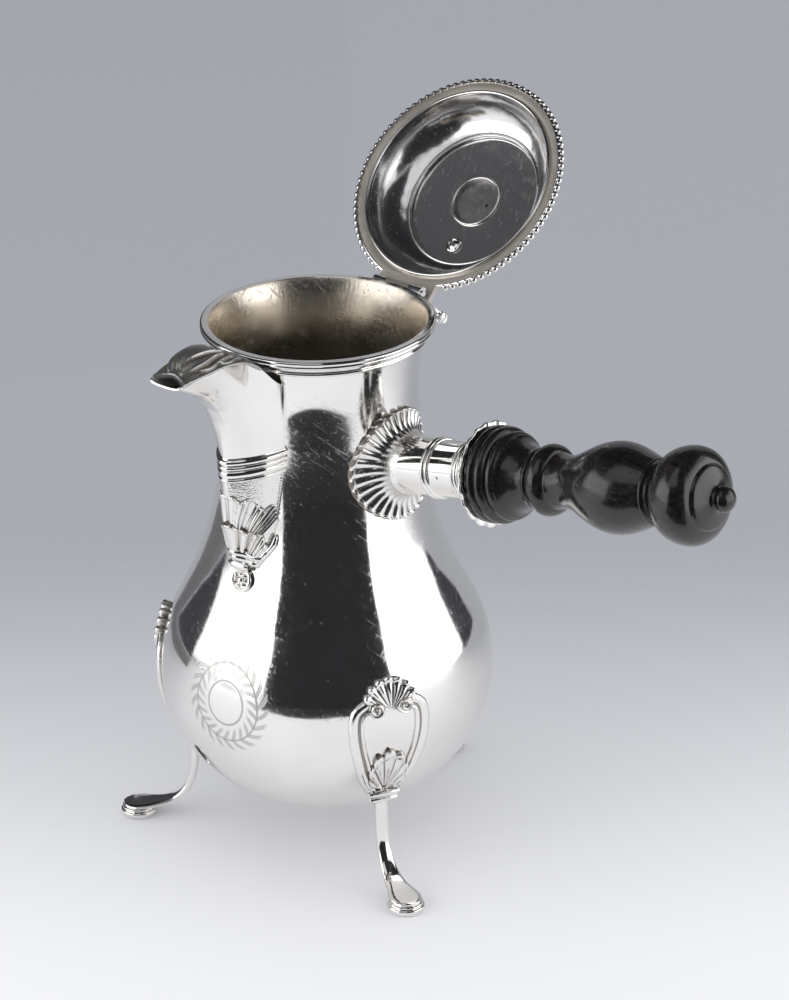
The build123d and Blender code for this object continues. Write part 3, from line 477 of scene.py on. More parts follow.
def wreath(finish):
    """Mask of an engraved oval wreath on the belly: a stem, leaves that slant off it
    on both sides, and an inner line. It is worked out from where a point lies."""
    x, y, z = finish.coordinates("XYZ")
    across = (x.sum("ARCTAN2", y, x) + WREATH_TURN) * (WREATH_REACH / WREATH_WIDE)
    up = (z - WREATH_Z) * (1.0 / WREATH_TALL)
    ring = z.sum("SQRT", across * across + up * up)
    around = z.sum("ARCTAN2", up, across)
    away = z.sum("ABSOLUTE", ring - 1.0)
    slant = z.sum("SINE", around * WREATH_LEAVES - away * WREATH_SLANT)
    leaf = slant.between(-0.05, 0.35) * (1.0 - away.between(0.22, 0.34))
    rib = 1.0 - z.sum("ABSOLUTE", slant - 0.75).between(0.04, 0.12)
    stem = 1.0 - away.between(0.012, 0.035)
    line = 1.0 - z.sum("ABSOLUTE", ring - WREATH_LINE).between(0.015, 0.04)
    return (leaf * 0.65 + rib * leaf * 0.35 + stem + line).clamped()


# name, roughness, depth and width of the facets, scratches, shade and tone
POLISHED = silver("silver_polished", 0.06, 0.00030, 0.016)
SHEET = silver("silver_sheet", 0.08, 0.00028, 0.022, 0.9)
RAISED = silver("silver_raised", 0.070, 0.00050, 0.024, 0.85, engraved=True)
CHASED = silver("silver_chased", 0.13, 0.00012, 0.006, 1.2)
HAMMERED = silver("silver_hammered", 0.15, 0.00014, 0.0042, 0.7, (0.66, 0.65, 0.64), (0.82, 0.81, 0.80))
WARM = silver("silver_inside", 0.27, 0.00030, 0.010, 1.6, (0.50, 0.43, 0.35), (0.86, 0.79, 0.69),
              streak=0.16)
EDGED = silver("silver_flange", 0.36, 0.00016, 0.005, 1.2, (0.36, 0.31, 0.26), (0.66, 0.61, 0.54), 0.82)
SATIN = silver("silver_satin", 0.34, 0.00022, 0.004, 2.4, (0.14, 0.14, 0.14), (0.34, 0.33, 0.32), 0.9)
LEAF = silver("silver_leaf", 0.30, 0.00016, 0.0012, 1.5, (0.36, 0.36, 0.36), (0.62, 0.62, 0.61), 0.95)
INNER = silver("silver_spout_inside", 0.42, 0.00012, 0.006, 1.5, (0.30, 0.29, 0.28), (0.50, 0.49, 0.47),
               0.6)

# %% [markdown]
# ## Ebony
#
# The grip is turned from a dense black wood and waxed. It reads as a black
# with soft highlights, but close by it has fine pores along the grain and
# hair scratches from use. The grain runs along the handle.

# %% Ebony finish


def ebony():
    """Waxed black wood with its grain along X."""
    finish = Finish("ebony", Coat_Weight=0.35, Coat_Roughness=0.12)
    grain = finish.noise(0.0012, 4.0, (0.05, 1.0, 1.0))
    pores = finish.noise(0.0005, 2.0, (0.10, 1.0, 1.0))
    cloud = finish.noise(0.014, 2.0)
    colour = finish.blend(grain.between(0.35, 0.8), (0.0035, 0.0033, 0.0033), (0.018, 0.014, 0.012))
    finish.wear(Base_Color=colour,
                Roughness=0.17 + cloud.between(0.3, 0.8) * 0.10 + pores.between(0.6, 0.75) * 0.15)
    finish.bumped(grain * 0.5 - pores.between(0.62, 0.7) * 0.6, 0.00004)
    return finish.material


EBONY = ebony()
print("finishes:", [finish.name for finish in (POLISHED, RAISED, CHASED, HAMMERED, WARM, EBONY)])


def dress(piece, finish, body, nodes):
    """Gives a piece its finish, its body and the solids that it stands for."""
    if finish is not None:
        piece.data.materials.clear()
        piece.data.materials.append(finish)
    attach(piece, body)
    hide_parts(*nodes)
    print(piece.name, len(piece.data.polygons), "faces")


def two_finishes(piece, first, second, picked):
    """Gives a piece one finish, and a second one to the faces that a test picks."""
    piece.data.materials.clear()
    piece.data.materials.append(first)
    piece.data.materials.append(second)
    for face in piece.data.polygons:
        if picked(face):
            face.material_index = 1

# %% [markdown]
# ## The raised body
#
# One sheet of silver is raised into a pear with a straight neck. The outline
# is the chain of arcs, spun about the pot's axis. The inside is the same chain
# set in by the wall, so the thickness is even all the way to the mouth. An
# oval hole is then cut through the neck behind the spout: a tall punch and a
# boolean do it, because the hole crosses both skins of the neck.

# %% The pot's outline


def pot_outline(shift=0.0):
    """Outline of the pot from its lowest point to the mouth, moved out."""
    cap_z = BASE_Z + CAP_ROUND
    low = degrees(atan2(BELLY_Z - cap_z, BELLY_IN))
    turn = degrees(atan2(NECK_Z - BELLY_Z, NECK_R + HOLLOW_ROUND - BELLY_IN))
    lip = 180 - degrees(atan2(RIM_Z - FLARE_Z, FLARE_ROUND - FLARE_OUT))
    return chain(
        arc((0, cap_z), CAP_ROUND + shift, -90, low, 26),
        arc((BELLY_IN, BELLY_Z), BELLY_ROUND + shift, low, turn, 70),
        arc((NECK_R + HOLLOW_ROUND, NECK_Z), HOLLOW_ROUND - shift, 180 + turn, 180, 46),
        [(NECK_R + shift, NECK_Z + t * (FLARE_Z - NECK_Z)) for t in (0.25, 0.5, 0.75)],
        arc((NECK_R + FLARE_ROUND, FLARE_Z), FLARE_ROUND - shift, 180, lip, 18))


OUTLINE = pot_outline()
SLOPE = np.gradient(OUTLINE, axis=0)
NORMAL = unit(np.stack([SLOPE[:, 1], -SLOPE[:, 0]], 1))


def pot_r(z):
    """Outside radius of the pot at a height."""
    return np.interp(z, OUTLINE[:, 1], OUTLINE[:, 0])


def on_pot(across, z, lift, turn=0.0):
    """Points on the pot at a height, a distance across, lifted square to it."""
    r = pot_r(z)
    nr = np.interp(z, OUTLINE[:, 1], NORMAL[:, 0])
    nz = np.interp(z, OUTLINE[:, 1], NORMAL[:, 1])
    a = np.arcsin(np.clip(across / r, -1, 1)) + turn
    return np.stack([(r + lift * nr) * np.cos(a), (r + lift * nr) * np.sin(a), z + lift * nz], -1)


HOLE_Z, HOLE_TALL, HOLE_HALF = 0.159, 0.026, 0.0085     # metres: middle and half sizes
HOLE_NEAR, HOLE_FAR = 0.015, 0.060                      # the punch's ends, off the axis
outside = pot_outline()
inside = pot_outline(-WALL)[::-1]
inside[:, 1] = np.minimum(inside[:, 1], RIM_Z)
outside[0, 0] = inside[-1, 0] = 0.0
body = turned_piece("raised_body", chain(outside, inside), 288, close=False)
punch = turned_piece("hole_punch", [(0, -HOLE_FAR), (1, -HOLE_FAR), (1, -HOLE_NEAR), (0, -HOLE_NEAR)], 64,
                     close=False, place=Matrix.Translation((0, 0, HOLE_Z))
                     @ Matrix.Diagonal((HOLE_HALF, 1, HOLE_TALL, 1)) @ Matrix.Rotation(-pi / 2, 4, "X"))
cut = body.modifiers.new("pouring_hole", "BOOLEAN")
cut.object = punch
cut.operation = "DIFFERENCE"
cut.solver = "EXACT"
apply_modifiers(body)
body.data.shade_smooth()
body.data.set_sharp_from_angle(angle=radians(SHARP))
bpy.data.objects.remove(punch)


def on_the_inside(face):
    """Whether a face of the pot looks into it."""
    c = face.center
    return c.z > BASE_Z + WALL * 1.5 and np.hypot(c.x, c.y) < pot_r(c.z) - WALL * 0.55


two_finishes(body, RAISED, WARM, on_the_inside)
dress(body, None, "pot", ["pot_body"])

# %% [markdown]
# ## The rim
#
# A lip is soldered round the mouth, with a hollow under it and a small reed
# below. They are a spun outline whose rounds are true arcs: a reflection
# along an edge is what makes it read as metal.

# %% Rim moulding
lip_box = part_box("rim_moulding")
LIP_R = lip_box[1].x
REED_Z = RIM_Z - 5.6 * MM
reed_r = float(pot_r(REED_Z)) + 0.4 * MM
rim = turned_piece("rim_lip", chain(
    [(pot_r(RIM_Z) - WALL, RIM_Z - 0.3 * MM)],
    arc((LIP_R - 2.6 * MM, RIM_Z - 0.45 * MM), 0.45 * MM, 150, 60, 6),
    arc((LIP_R - 0.75 * MM, RIM_Z - 0.75 * MM), 0.75 * MM, 90, -30, 12),
    arc((LIP_R - 0.85 * MM, RIM_Z - 2.1 * MM), 0.8 * MM, 45, -90, 12),
    arc((LIP_R - 0.9 * MM, RIM_Z - 4.1 * MM), 1.2 * MM, 90, 165, 8),
    arc((reed_r, REED_Z), 0.9 * MM, 60, -100, 16),
    [(pot_r(REED_Z - 1.2 * MM) - 0.2 * MM, REED_Z - 1.3 * MM)],
    [(pot_r(REED_Z) - 0.4 * MM, REED_Z), (pot_r(RIM_Z) - WALL, RIM_Z - 1.2 * MM)]), 288)
dress(rim, POLISHED, "pot", ["rim_moulding"])

# %% [markdown]
# ## The handle's frame
#
# The handle rises a little from the pot's axis. Its pieces are spun about
# their own Z and then laid along it by one matrix.

# %% Handle sizes
HANDLE_RISE = radians(10.3)
HANDLE_Z = 149.3 * MM
ALONG = Vector((cos(HANDLE_RISE), 0, sin(HANDLE_RISE)))
UPWARD = Vector((-sin(HANDLE_RISE), 0, cos(HANDLE_RISE)))
HANDLE = Matrix.Translation((0, 0, HANDLE_Z)) @ Matrix((
    (0, UPWARD.x, ALONG.x, 0), (1, 0, 0, 0), (0, UPWARD.z, ALONG.z, 0), (0, 0, 0, 1)))
TUBE_R = 10.2 * MM
TUBE_WALL = 1.1 * MM
PAN_S = 81.5 * MM
PAN_R = 18.6 * MM
print("handle rises", round(degrees(HANDLE_RISE), 1), "degrees")

# %% [markdown]
# ## The turned grip
#
# The grip is faceplate work: a stepped disc against the pan, a bead between
# two quirks, a long bulb, a collar and a flattened knob with a button. A lathe
# cuts arcs and fillets, so the outline is arcs and smooth runs with small
# sharp quirks between them. It is given in millimetres from the pan's face.

# %% Grip outline
grip = turned_piece("ebony_grip", chain(
    mm((0, -20), (8.9, -20), (8.9, 0), (16.7, 0)), bend(15.75, 1.75, 1.5, -55, 78, 12),
    mm((15.95, 3.5)), bend(15.35, 5.2, 1.75, -62, 70, 12),
    mm((15.75, 7.0), (15.1, 7.2)), bend(13.8, 9.1, 1.9, -60, 62, 10),
    smooth(mm((14.5, 11.2), (12.2, 13.6), (10.9, 16.8), (10.3, 19.6)), 14, (-1, 0.55), (0.1, 1)),
    bend(10.25, 20.9, 0.75, -70, 60, 6), bend(8.6, 25.6, 4.05, -66, 68, 22), mm((10.1, 29.7)),
    smooth(mm((10.0, 30.0), (9.4, 34.8), (11.9, 42.0), (15.3, 50.5), (16.1, 56.0), (15.2, 62.0),
              (12.6, 69.0), (11.6, 71.6)), 60, (-0.35, 1), (-0.45, 1)),
    bend(11.0, 72.4, 0.75, -50, 60, 6),
    smooth(mm((10.6, 73.5), (11.2, 75.6), (14.3, 78.6), (16.5, 82.6), (17.2, 86.8), (16.3, 90.6),
              (13.6, 93.2), (12.3, 93.8)), 44, (-0.1, 1), (-1, 0.35)),
    mm((11.7, 93.9)),
    smooth(mm((11.5, 94.2), (9.7, 95.6), (7.6, 96.2), (5.4, 96.9), (4.0, 98.0), (4.3, 99.2)), 18,
           (0, 1), (0.8, 1)),
    smooth(mm((4.3, 99.2), (4.6, 100.4), (3.6, 102.2), (1.5, 103.4), (0, 103.8)), 16, (0.6, 1), (-1, 0.02))),
    160, close=False, place=HANDLE @ Matrix.Translation((0, 0, PAN_S)), sharp=30)
dress(grip, EBONY, "pot", ["handle_grip"])

# %% [markdown]
# ## Tube, rings and drip pan
#
# The wood sits in a silver tube that ends in a small pan with a waved edge.
# Two groups of reeds ring the tube. All are spun outlines; the pan's edge is
# waved after spinning by moving its points out and back round the circle.

# %% Tube and rings
BORE_R = TUBE_R - TUBE_WALL
tube_end = PAN_S - 6.5 * MM
tube = turned_piece("handle_tube_skin", [(BORE_R, 44 * MM)] + [(TUBE_R, s * MM) for s in (44, 52, 60, 68)]
                    + [(TUBE_R, tube_end), (BORE_R, tube_end)], 128, place=HANDLE)


def reeds(name, stations, nodes):
    """Rings of half-round wire soldered side by side on the tube; stations give
    each one's middle and half width in millimetres."""
    r = TUBE_R / MM
    foot, head = stations[0][0] - stations[0][1], stations[-1][0] + stations[-1][1]
    rounds = [bend(r, middle, half, -90, 90, 12) for middle, half in stations]
    ring = turned_piece(name, chain(mm((r - 0.4, foot)), *rounds, mm((r - 0.4, head))), 128,
                        place=HANDLE, sharp=50)
    dress(ring, POLISHED, "pot", nodes)


reeds("tube_reeds_near", [(56.7, 0.95), (58.5, 0.8)], ["handle_ring_near"])
reeds("tube_reeds_far", [(70.3, 0.6), (71.9, 1.0), (73.7, 0.7)], ["handle_ring_far"])

# %% Drip pan
WAVES = 20
WAVED_FROM = 14 * MM
pan = turned_piece("drip_pan_skin", chain(
    [(BORE_R, tube_end)],
    smooth(mm((10.2, 75.0), (10.5, 77.2), (12.2, 79.2), (15.2, 80.1), (18.2, 80.5)), 20,
           (0.05, 1), (1, 0.08)),
    arc((PAN_R - 0.45 * MM, PAN_S - 0.5 * MM), 0.5 * MM, -80, 90, 8), [(BORE_R, PAN_S)]), 240)
for vertex in pan.data.vertices:
    r = np.hypot(vertex.co.x, vertex.co.y)
    turn = WAVES * atan2(vertex.co.y, vertex.co.x)
    share = max(0.0, (r - WAVED_FROM) / (PAN_R - WAVED_FROM)) * MM
    vertex.co.x *= 1 + 0.30 * share * cos(turn) / r
    vertex.co.y *= 1 + 0.30 * share * cos(turn) / r
    vertex.co.z += share * (0.25 * sin(turn) - 0.3)
pan.data.transform(HANDLE)
dress(pan, POLISHED, "pot", ["handle_drip_pan"])

# %% [markdown]
# ## The gadrooned rosette
#
# Where the handle leaves the neck, a plate of long tongues radiates from the
# tube and follows the neck's curve. Chasing pushes each tongue up with a
# hollow beside it. It is a relief in polar form: the grid's rows are radii and
# its columns angles, each point is thrown along the handle's axis onto the
# neck, and the tongues are a wave round the circle.

# %% Rosette
TONGUES = 31
ROSETTE_R = 20.4 * MM


def on_neck(p, q, out):
    """Points thrown along the handle's axis onto the neck, then drawn out."""
    base = (np.array((0, 0, HANDLE_Z)) + p[..., None] * np.array((0, 1.0, 0))
            + q[..., None] * np.array(UPWARD))
    d = np.array(ALONG)
    s = np.full(p.shape, NECK_R)
    for _ in range(6):
        z = base[..., 2] + s * d[2]
        r = pot_r(z)
        b = base[..., 0] * d[0]
        c = base[..., 0] ** 2 + base[..., 1] ** 2 - r ** 2
        s = (-b + np.sqrt(np.maximum(b * b - d[0] ** 2 * c, 0))) / d[0] ** 2
    return base + (s + out)[..., None] * d


def rosette_lift(t, angle):
    """Height of the rosette off the neck; t runs from the tube to the edge."""
    r = TUBE_R + t * (ROSETTE_R - TUBE_R)
    wave = np.abs(np.cos(angle * TONGUES / 2)) ** 0.75
    edge = 0.955 + 0.045 * wave
    rise = 8.2 * MM * np.exp(-((r - TUBE_R) / (1.9 * MM)) ** 0.9) + 1.15 * MM
    fade = np.clip((r - TUBE_R) / (3.5 * MM), 0, 1)
    body = rise + 0.85 * MM * fade * (wave - 0.55)
    brim = 0.35 * MM * np.exp(-((t - edge + 0.05) / 0.035) ** 2)
    return np.where(t < edge, body + brim * fade, -MM)


def on_rosette(t, angle, out):
    """Points on the neck at shares of the rosette's breadth and angles."""
    r = TUBE_R - 0.1 * MM + t * (ROSETTE_R - TUBE_R)
    return on_neck(r * np.cos(angle), r * np.sin(angle), out)


rosette = relief("gadrooned_rosette", np.linspace(0, 1.0, 60), np.linspace(0, 2 * pi, 721),
                 rosette_lift, on_rosette)
dress(rosette, CHASED, "pot", ["handle_rosette"])
dress(tube, POLISHED, "pot", ["handle_tube"])

# %% [markdown]
# ## The spout's sheet
#
# The spout is a deep beak of sheet silver. Below, each level is a pointed oval
# through seven points. Above the band the sheet opens like a sleeve: ribs run
# from the band to the free edge, and the middle ribs hang back before they
# sweep out to the lip. That bow gives the beak its hollow front, which a plain
# loft between levels would have missed. Sizes here are in millimetres.

# %% Spout levels
SPOUT_HALF = 14.0
SPOUT_NOSE = 51.3
SPOUT_LOW = 120.5
SPOUT_RISE = RIM_Z / MM - SPOUT_LOW
SPOUT_BEND = 165.0      # where the levels end and the ribs start
SPOUT_STEPS = 220       # points round the beak
# share of the height, three half widths as shares, and the reach past the nose
SPOUT_ROWS = np.array([
    (0.0, 0.41, 0.33, 0.17, -7.0), (0.128, 0.73, 0.60, 0.26, -3.4),
    (0.256, 0.79, 0.65, 0.27, -0.9), (0.415, 0.86, 0.70, 0.27, 0.0),
    (0.573, 0.95, 0.76, 0.28, 0.3)])
SPOUT_EDGE = [
    (14.2, -32.6, 191.4), (13.9, -36.7, 192.9), (13.0, -40.8, 196.7), (11.5, -46.7, 202.4),
    (10.6, -50.8, 204.3), (9.9, -56.7, 205.4), (9.4, -62.3, 205.6), (8.9, -66.9, 205.2),
    (8.3, -71.4, 205.0), (7.6, -75.7, 204.6), (6.9, -79.6, 204.3)]
# how far a middle rib has swept out, at shares of its height
SWEPT_AT = (0, 0.24, 0.41, 0.557, 0.676, 0.777, 0.894, 1)
SWEPT = (0, 0.035, 0.085, 0.17, 0.31, 0.465, 0.73, 1)


def level(z, count):
    """The spout's round at a height, from the neck on +X to the neck on -X."""
    share = (z - SPOUT_LOW) / SPOUT_RISE
    root, middle, front, reach = [np.interp(share, SPOUT_ROWS[:, 0], SPOUT_ROWS[:, k]) for k in (1, 2, 3, 4)]
    tip = SPOUT_NOSE + reach
    side = [(SPOUT_HALF * root, -28.6), (SPOUT_HALF * middle, -14.3 - tip / 2),
            (SPOUT_HALF * front, 2.2 - tip)]
    curve = smooth(side + [(0, -tip)] + [(-x, y) for x, y in side[::-1]], 400)
    curve = curve[np.hypot(curve[:, 0], curve[:, 1]) > pot_r(z * MM) / MM - 0.5]
    return np.column_stack([even(curve, count), np.full(count + 1, z)])


def mirrored(half):
    """A half curve that ends at X = 0, and its mirror image back."""
    return np.concatenate([half, (half * (-1, 1, 1))[::-1][1:]])


def free_edge(count):
    """The spout's free edge, from the neck round the lip to the neck."""
    side = smooth(SPOUT_EDGE, 150)
    lip = smooth([SPOUT_EDGE[-1], (6.7, -80.3, 203.7), (4.6, -80.6, 202.9), (0, -80.7, 202.7)], 30)
    return even(mirrored(np.concatenate([side, lip[1:]])), count)


def spout_grid():
    """Points on the outside of the spout's sheet."""
    rows = [level(z, SPOUT_STEPS) for z in np.linspace(SPOUT_LOW, SPOUT_BEND, 24)]
    base, edge = rows[-1], free_edge(SPOUT_STEPS)
    toward_nose = 1 - np.abs(np.linspace(-1, 1, SPOUT_STEPS + 1))
    w = np.clip((toward_nose - 0.35) / 0.65, 0, 1)[:, None]
    w = w * w * (3 - 2 * w)
    for v in np.linspace(0, 1, 61)[1:]:
        share = (1 - w) * v + w * np.interp(v, SWEPT_AT, SWEPT)
        row = base + share * (edge - base)
        row[:, 2] = base[:, 2] + v * (edge[:, 2] - base[:, 2])
        rows.append(row)
    return np.stack(rows, 1) * MM


def outward_from(grid, inside):
    """Unit normals of a grid of points that look away from a place inside."""
    n = unit(np.cross(np.gradient(grid, axis=0), np.gradient(grid, axis=1)))
    middle = tuple(k // 2 for k in grid.shape[:2])
    return n * np.sign(n[middle] @ (grid[middle] - np.array(inside)))


def skin_piece(name, outer, inner, sharp=SHARP):
    """A closed piece between two grids of points of the same size."""
    n, m = outer.shape[:2]
    size = n * m
    faces = grid_faces(n, m)
    faces += [tuple(k + size for k in face[::-1]) for face in grid_faces(n, m)]
    border = list(range(m)) + [i * m + m - 1 for i in range(1, n)]
    border += [(n - 1) * m + j for j in range(m - 2, -1, -1)] + [i * m for i in range(n - 2, 0, -1)]
    faces += [(a, b, b + size, a + size) for a, b in zip(border, border[1:] + border[:1])]
    piece = mesh_piece(name, np.concatenate([outer.reshape(-1, 3), inner.reshape(-1, 3)]), faces, sharp)
    face_out(piece)
    return piece


sheet_out = spout_grid()
sheet_normal = outward_from(sheet_out, (0, -0.046, 0.165))
# the sheet thins over its last rows, toward the free edge
sheet_wall = np.interp(np.arange(len(sheet_out)), (0, 70, 84), (1.1 * MM, 1.1 * MM, 0.6 * MM))
sheet = skin_piece("spout_sheet", sheet_out, sheet_out - sheet_wall[:, None, None] * sheet_normal, 50)
side_faces = (sheet_out.shape[0] - 1) * (sheet_out.shape[1] - 1)
two_finishes(sheet, SHEET, INNER, lambda face: side_faces <= face.index < 2 * side_faces)
dress(sheet, None, "pot", ["spout_shell"])

# %% [markdown]
# ## The leaf cover
#
# A small domed sheet closes the top of the beak behind the lip. It is chased
# as a leaf: long crests run toward the lip, each with a hollow beside it, over
# a ground that a matting punch has made dull. The dome is an arch across, and
# the chasing is added as height, so it stays where it is if the dome changes.

# %% Leaf cover
COVER_BACK = -44.2
COVER_FRONT = -76.4
COVER_CROWN = smooth([(-44.2, 203.6), (-48.0, 205.0), (-53.0, 208.0), (-58.0, 210.5), (-63.0, 211.8),
                      (-68.0, 211.4), (-72.0, 209.2), (-75.0, 206.4), (-78.5, 204.8)], 120)
EDGE_LINE = smooth(SPOUT_EDGE, 200)


def cover_at(t, s):
    """Point of the plain dome: t runs to the front, s from side to side."""
    y = COVER_BACK + t * (COVER_FRONT - 2.4 * np.abs(s) ** 1.6 - COVER_BACK)
    edge_x = np.interp(-y, -EDGE_LINE[:, 1], EDGE_LINE[:, 0]) + 0.1
    edge_z = np.interp(-y, -EDGE_LINE[:, 1], EDGE_LINE[:, 2]) + 0.1
    crown = np.interp(-y, -COVER_CROWN[:, 0], COVER_CROWN[:, 1])
    z = edge_z + np.maximum(crown - edge_z, 0.3) * (1 - np.abs(s) ** 2.1)
    return np.stack([edge_x * s, y, z], -1) * MM


CRESTS = [      # lines of the leaf's crests: shares forward and across
    [(0.88, 0.09), (0.82, 0.18), (0.70, 0.32), (0.52, 0.38), (0.34, 0.36)],
    [(0.95, 0.30), (0.88, 0.52), (0.76, 0.66), (0.64, 0.67), (0.50, 0.60), (0.36, 0.52)],
    [(0.74, 0.80), (0.63, 0.87), (0.52, 0.82), (0.40, 0.73), (0.26, 0.62)],
    [(0.48, 0.85), (0.38, 0.88), (0.28, 0.78), (0.16, 0.64)]]
LEAF_LONG, LEAF_HALF = 34, 12   # millimetres that the shares stand for


def matted(shape, size):
    """Small uneven heights, as a matting punch leaves them."""
    return np.random.default_rng(7).uniform(-size, size, shape)


def off_line(t, s, line):
    """Signed distance in millimetres of shares from a line of the leaf."""
    line = even(smooth(line, 40), 40) * (LEAF_LONG, LEAF_HALF)
    best = np.full(t.shape, 99.0)
    sign = np.ones(t.shape)
    for (ta, sa), (tb, sb) in zip(line, line[1:]):
        dt, ds = tb - ta, sb - sa
        off_t, off_s = t * LEAF_LONG - ta, s * LEAF_HALF - sa
        along = np.clip((off_t * dt + off_s * ds) / (dt * dt + ds * ds), 0, 1)
        gap_t, gap_s = off_t - along * dt, off_s - along * ds
        gap = np.hypot(gap_t, gap_s)
        nearer = gap < best
        best = np.where(nearer, gap, best)
        sign = np.where(nearer, np.sign(gap_t * ds - gap_s * dt), sign)
    return best, sign


def leaf_height(t, s):
    """Height of the chased leaf in millimetres."""
    a = np.abs(s)
    inner = np.clip((0.95 - a) / 0.06, 0, 1) * np.clip(t / 0.06, 0, 1) * np.clip((0.97 - t) / 0.04, 0, 1)
    height = matted(t.shape, 0.05) * inner
    for line in CRESTS:
        gap, sign = off_line(t, a, line)
        height = height + inner * (0.60 * np.exp(-(gap / 0.42) ** 2)
                                   - 0.30 * np.exp(-((gap * sign - 1.2) / 0.7) ** 2))
    border = np.exp(-((a - 0.97) / 0.025) ** 2) + np.exp(-((t - 0.97) / 0.015) ** 2)
    return height + 0.35 * np.minimum(border, 1)


ct, cs = np.meshgrid(np.linspace(0, 1, 180), np.linspace(-1, 1, 201), indexing="ij")
dome = cover_at(ct, cs)
dome_normal = outward_from(dome, (0, -0.060, 0.195))
leaf = leaf_height(ct, cs)
cover = skin_piece("spout_leaf_cover", dome + leaf[..., None] * MM * dome_normal, dome - MM * dome_normal, 60)
mark_hollow(cover, np.concatenate([np.clip(0.55 - leaf * 1.8, 0, 0.9).reshape(-1), leaf.reshape(-1) * 0]))
dress(cover, LEAF, "pot", ["spout_cover"])

# %% [markdown]
# ## The reeded band
#
# A drawn band wraps the beak. Its section is one narrow reed, one broad round
# and two more reeds, carried round the beak's level and square to it. It hangs
# about a millimetre lower at the nose than at the neck.

# %% Band
BAND_LOW = 157.9
BAND_SAG = 1.2


def band_profile():
    """Section of the band: distance out from the sheet, and height."""
    runs = [[(-0.6, 0.0), (0.2, 0.0)]]
    for middle, half, out in ((0.75, 0.75, 1.15), (3.0, 1.5, 1.3), (5.45, 0.85, 1.25), (7.6, 1.1, 1.35)):
        a = np.linspace(-pi / 2, pi / 2, 11)
        runs.append(np.stack([0.2 + (out - 0.2) * np.cos(a) ** 0.8, middle + half * np.sin(a)], 1))
    runs.append([(0.2, 8.8), (-0.6, 8.8)])
    return chain(*runs)


def band_rings(count=200):
    """The band's section carried round the beak, square to it and lower at the nose."""
    low = BAND_LOW - BAND_SAG * (1 - np.abs(np.linspace(-1, 1, count + 1))) ** 1.5
    profile = band_profile()
    rings = np.zeros((count + 1, len(profile), 3))
    for k, (out, up) in enumerate(profile):
        row = level(BAND_LOW + up, count)
        tangent = np.gradient(row, axis=0)
        n = unit(np.stack([-tangent[:, 1], tangent[:, 0]], 1))
        n *= -np.sign(n[count // 2, 1])
        rings[:, k, :2] = row[:, :2] + n * out
        rings[:, k, 2] = low + up
    return rings * MM


band = lofted("reeded_band", band_rings(), 40)
dress(band, POLISHED, "pot", ["spout_band"])

# %% [markdown]
# ## Shell under the band
#
# Below the band the beak is covered by a chased plate: matted ground at the
# top, then two tiers of a fluted shell that draw in toward a double roll. Each
# tier has an uneven, pointed top and hollow flutes between fine lines. The
# height is worked out from where a point lies across the beak and how high.

# %% Shell ornament
# each tier: its top line (share across, height), the height its flutes draw in
# to, its thickness, and its hollows (share across, half width, depth)
TIERS = [
    ([(0, 151.4), (0.12, 151.6), (0.22, 149.3), (0.30, 149.9), (0.37, 150.5), (0.50, 148.5),
      (0.62, 146.0), (0.68, 145.0), (0.76, 146.0), (0.83, 146.6), (0.92, 143.4), (1.02, 139.0)],
     (124.0, 148.0), 1.15,
     [(0.0, 0.06, 1.1), (0.27, 0.03, 0.5), (0.46, 0.10, 1.5), (0.60, 0.03, 0.5), (0.75, 0.035, 0.7),
      (0.90, 0.035, 0.7), (1.04, 0.035, 0.7), (1.18, 0.035, 0.6), (1.34, 0.04, 0.6)]),
    ([(0, 141.0), (0.08, 140.6), (0.18, 138.4), (0.26, 138.5), (0.34, 137.2), (0.42, 137.6),
      (0.52, 136.2), (0.62, 136.6), (0.70, 135.7), (0.77, 132.3), (0.86, 131.4), (0.95, 128.5),
      (1.02, 126.0)],
     (112.0, 137.0), 2.05,
     [(0.18, 0.06, 1.4), (0.46, 0.08, 1.6), (0.62, 0.03, 0.5), (0.76, 0.05, 0.9), (0.98, 0.05, 0.8)])]
# the double roll's line under them: share across, height; its last part climbs the side
SWAG = np.array([(0, 129.0), (0.18, 128.6), (0.40, 127.4), (0.65, 125.9), (0.84, 125.4), (0.94, 126.5),
                 (0.99, 128.6), (1.0, 131.5), (1.0, 134.5)])
SWAG_RISES = 7
LINE_PITCH = 0.050


def shell_height(t, z):
    """Height of the shell plate in millimetres at a share across and a height."""
    a = np.abs(t - 0.5) * 2
    height = 0.5 + matted(t.shape, 0.05) + 0.35 * np.exp(-((a - 0.95) / 0.02) ** 2)
    for line, (meet, level_at), thick, hollows in TIERS:
        top = np.interp(a, *zip(*line))
        drawn = a / np.clip((z - meet) / (level_at - meet), 0.3, 1.4)
        tier = thick + 0.035 * np.cos(drawn * 2 * pi / LINE_PITCH)
        tier = tier + 0.30 * np.exp(-((top - z - 0.5) / 0.40) ** 2)
        for place, half, depth in hollows:
            tier = tier - depth * np.exp(-((drawn - place) / half) ** 2)
        height = np.where(z < top, np.maximum(tier, 0.15), height)
    return np.where(z > np.interp(a, *SWAG[:SWAG_RISES].T) - 0.8, height, -1) * MM


SHELL_Z = np.linspace(122.0, 158.4, 200)
SHELL_LEVELS = np.stack([level(z, SPOUT_STEPS) for z in SHELL_Z], 1) * MM
SHELL_OUT = outward_from(SHELL_LEVELS, (0, -0.040, 0.140))
shell = relief("spout_shell_plate", np.linspace(0, 1, SPOUT_STEPS + 1), SHELL_Z, shell_height,
               lambda t, z, lift: SHELL_LEVELS + lift[..., None] * SHELL_OUT, sink=0.5 * MM)
dress(shell, CHASED, "pot", ["spout_ornament"])

# %% [markdown]
# ## Swag, spool and rose
#
# A double roll hangs under the shell and climbs the sides of the beak. Below
# it a waisted spool ends in a small rose on the belly. The rolls are round
# rods along a path on the sheet; the rose is spun, and its petals are a wave.

# %% Rolls and rose


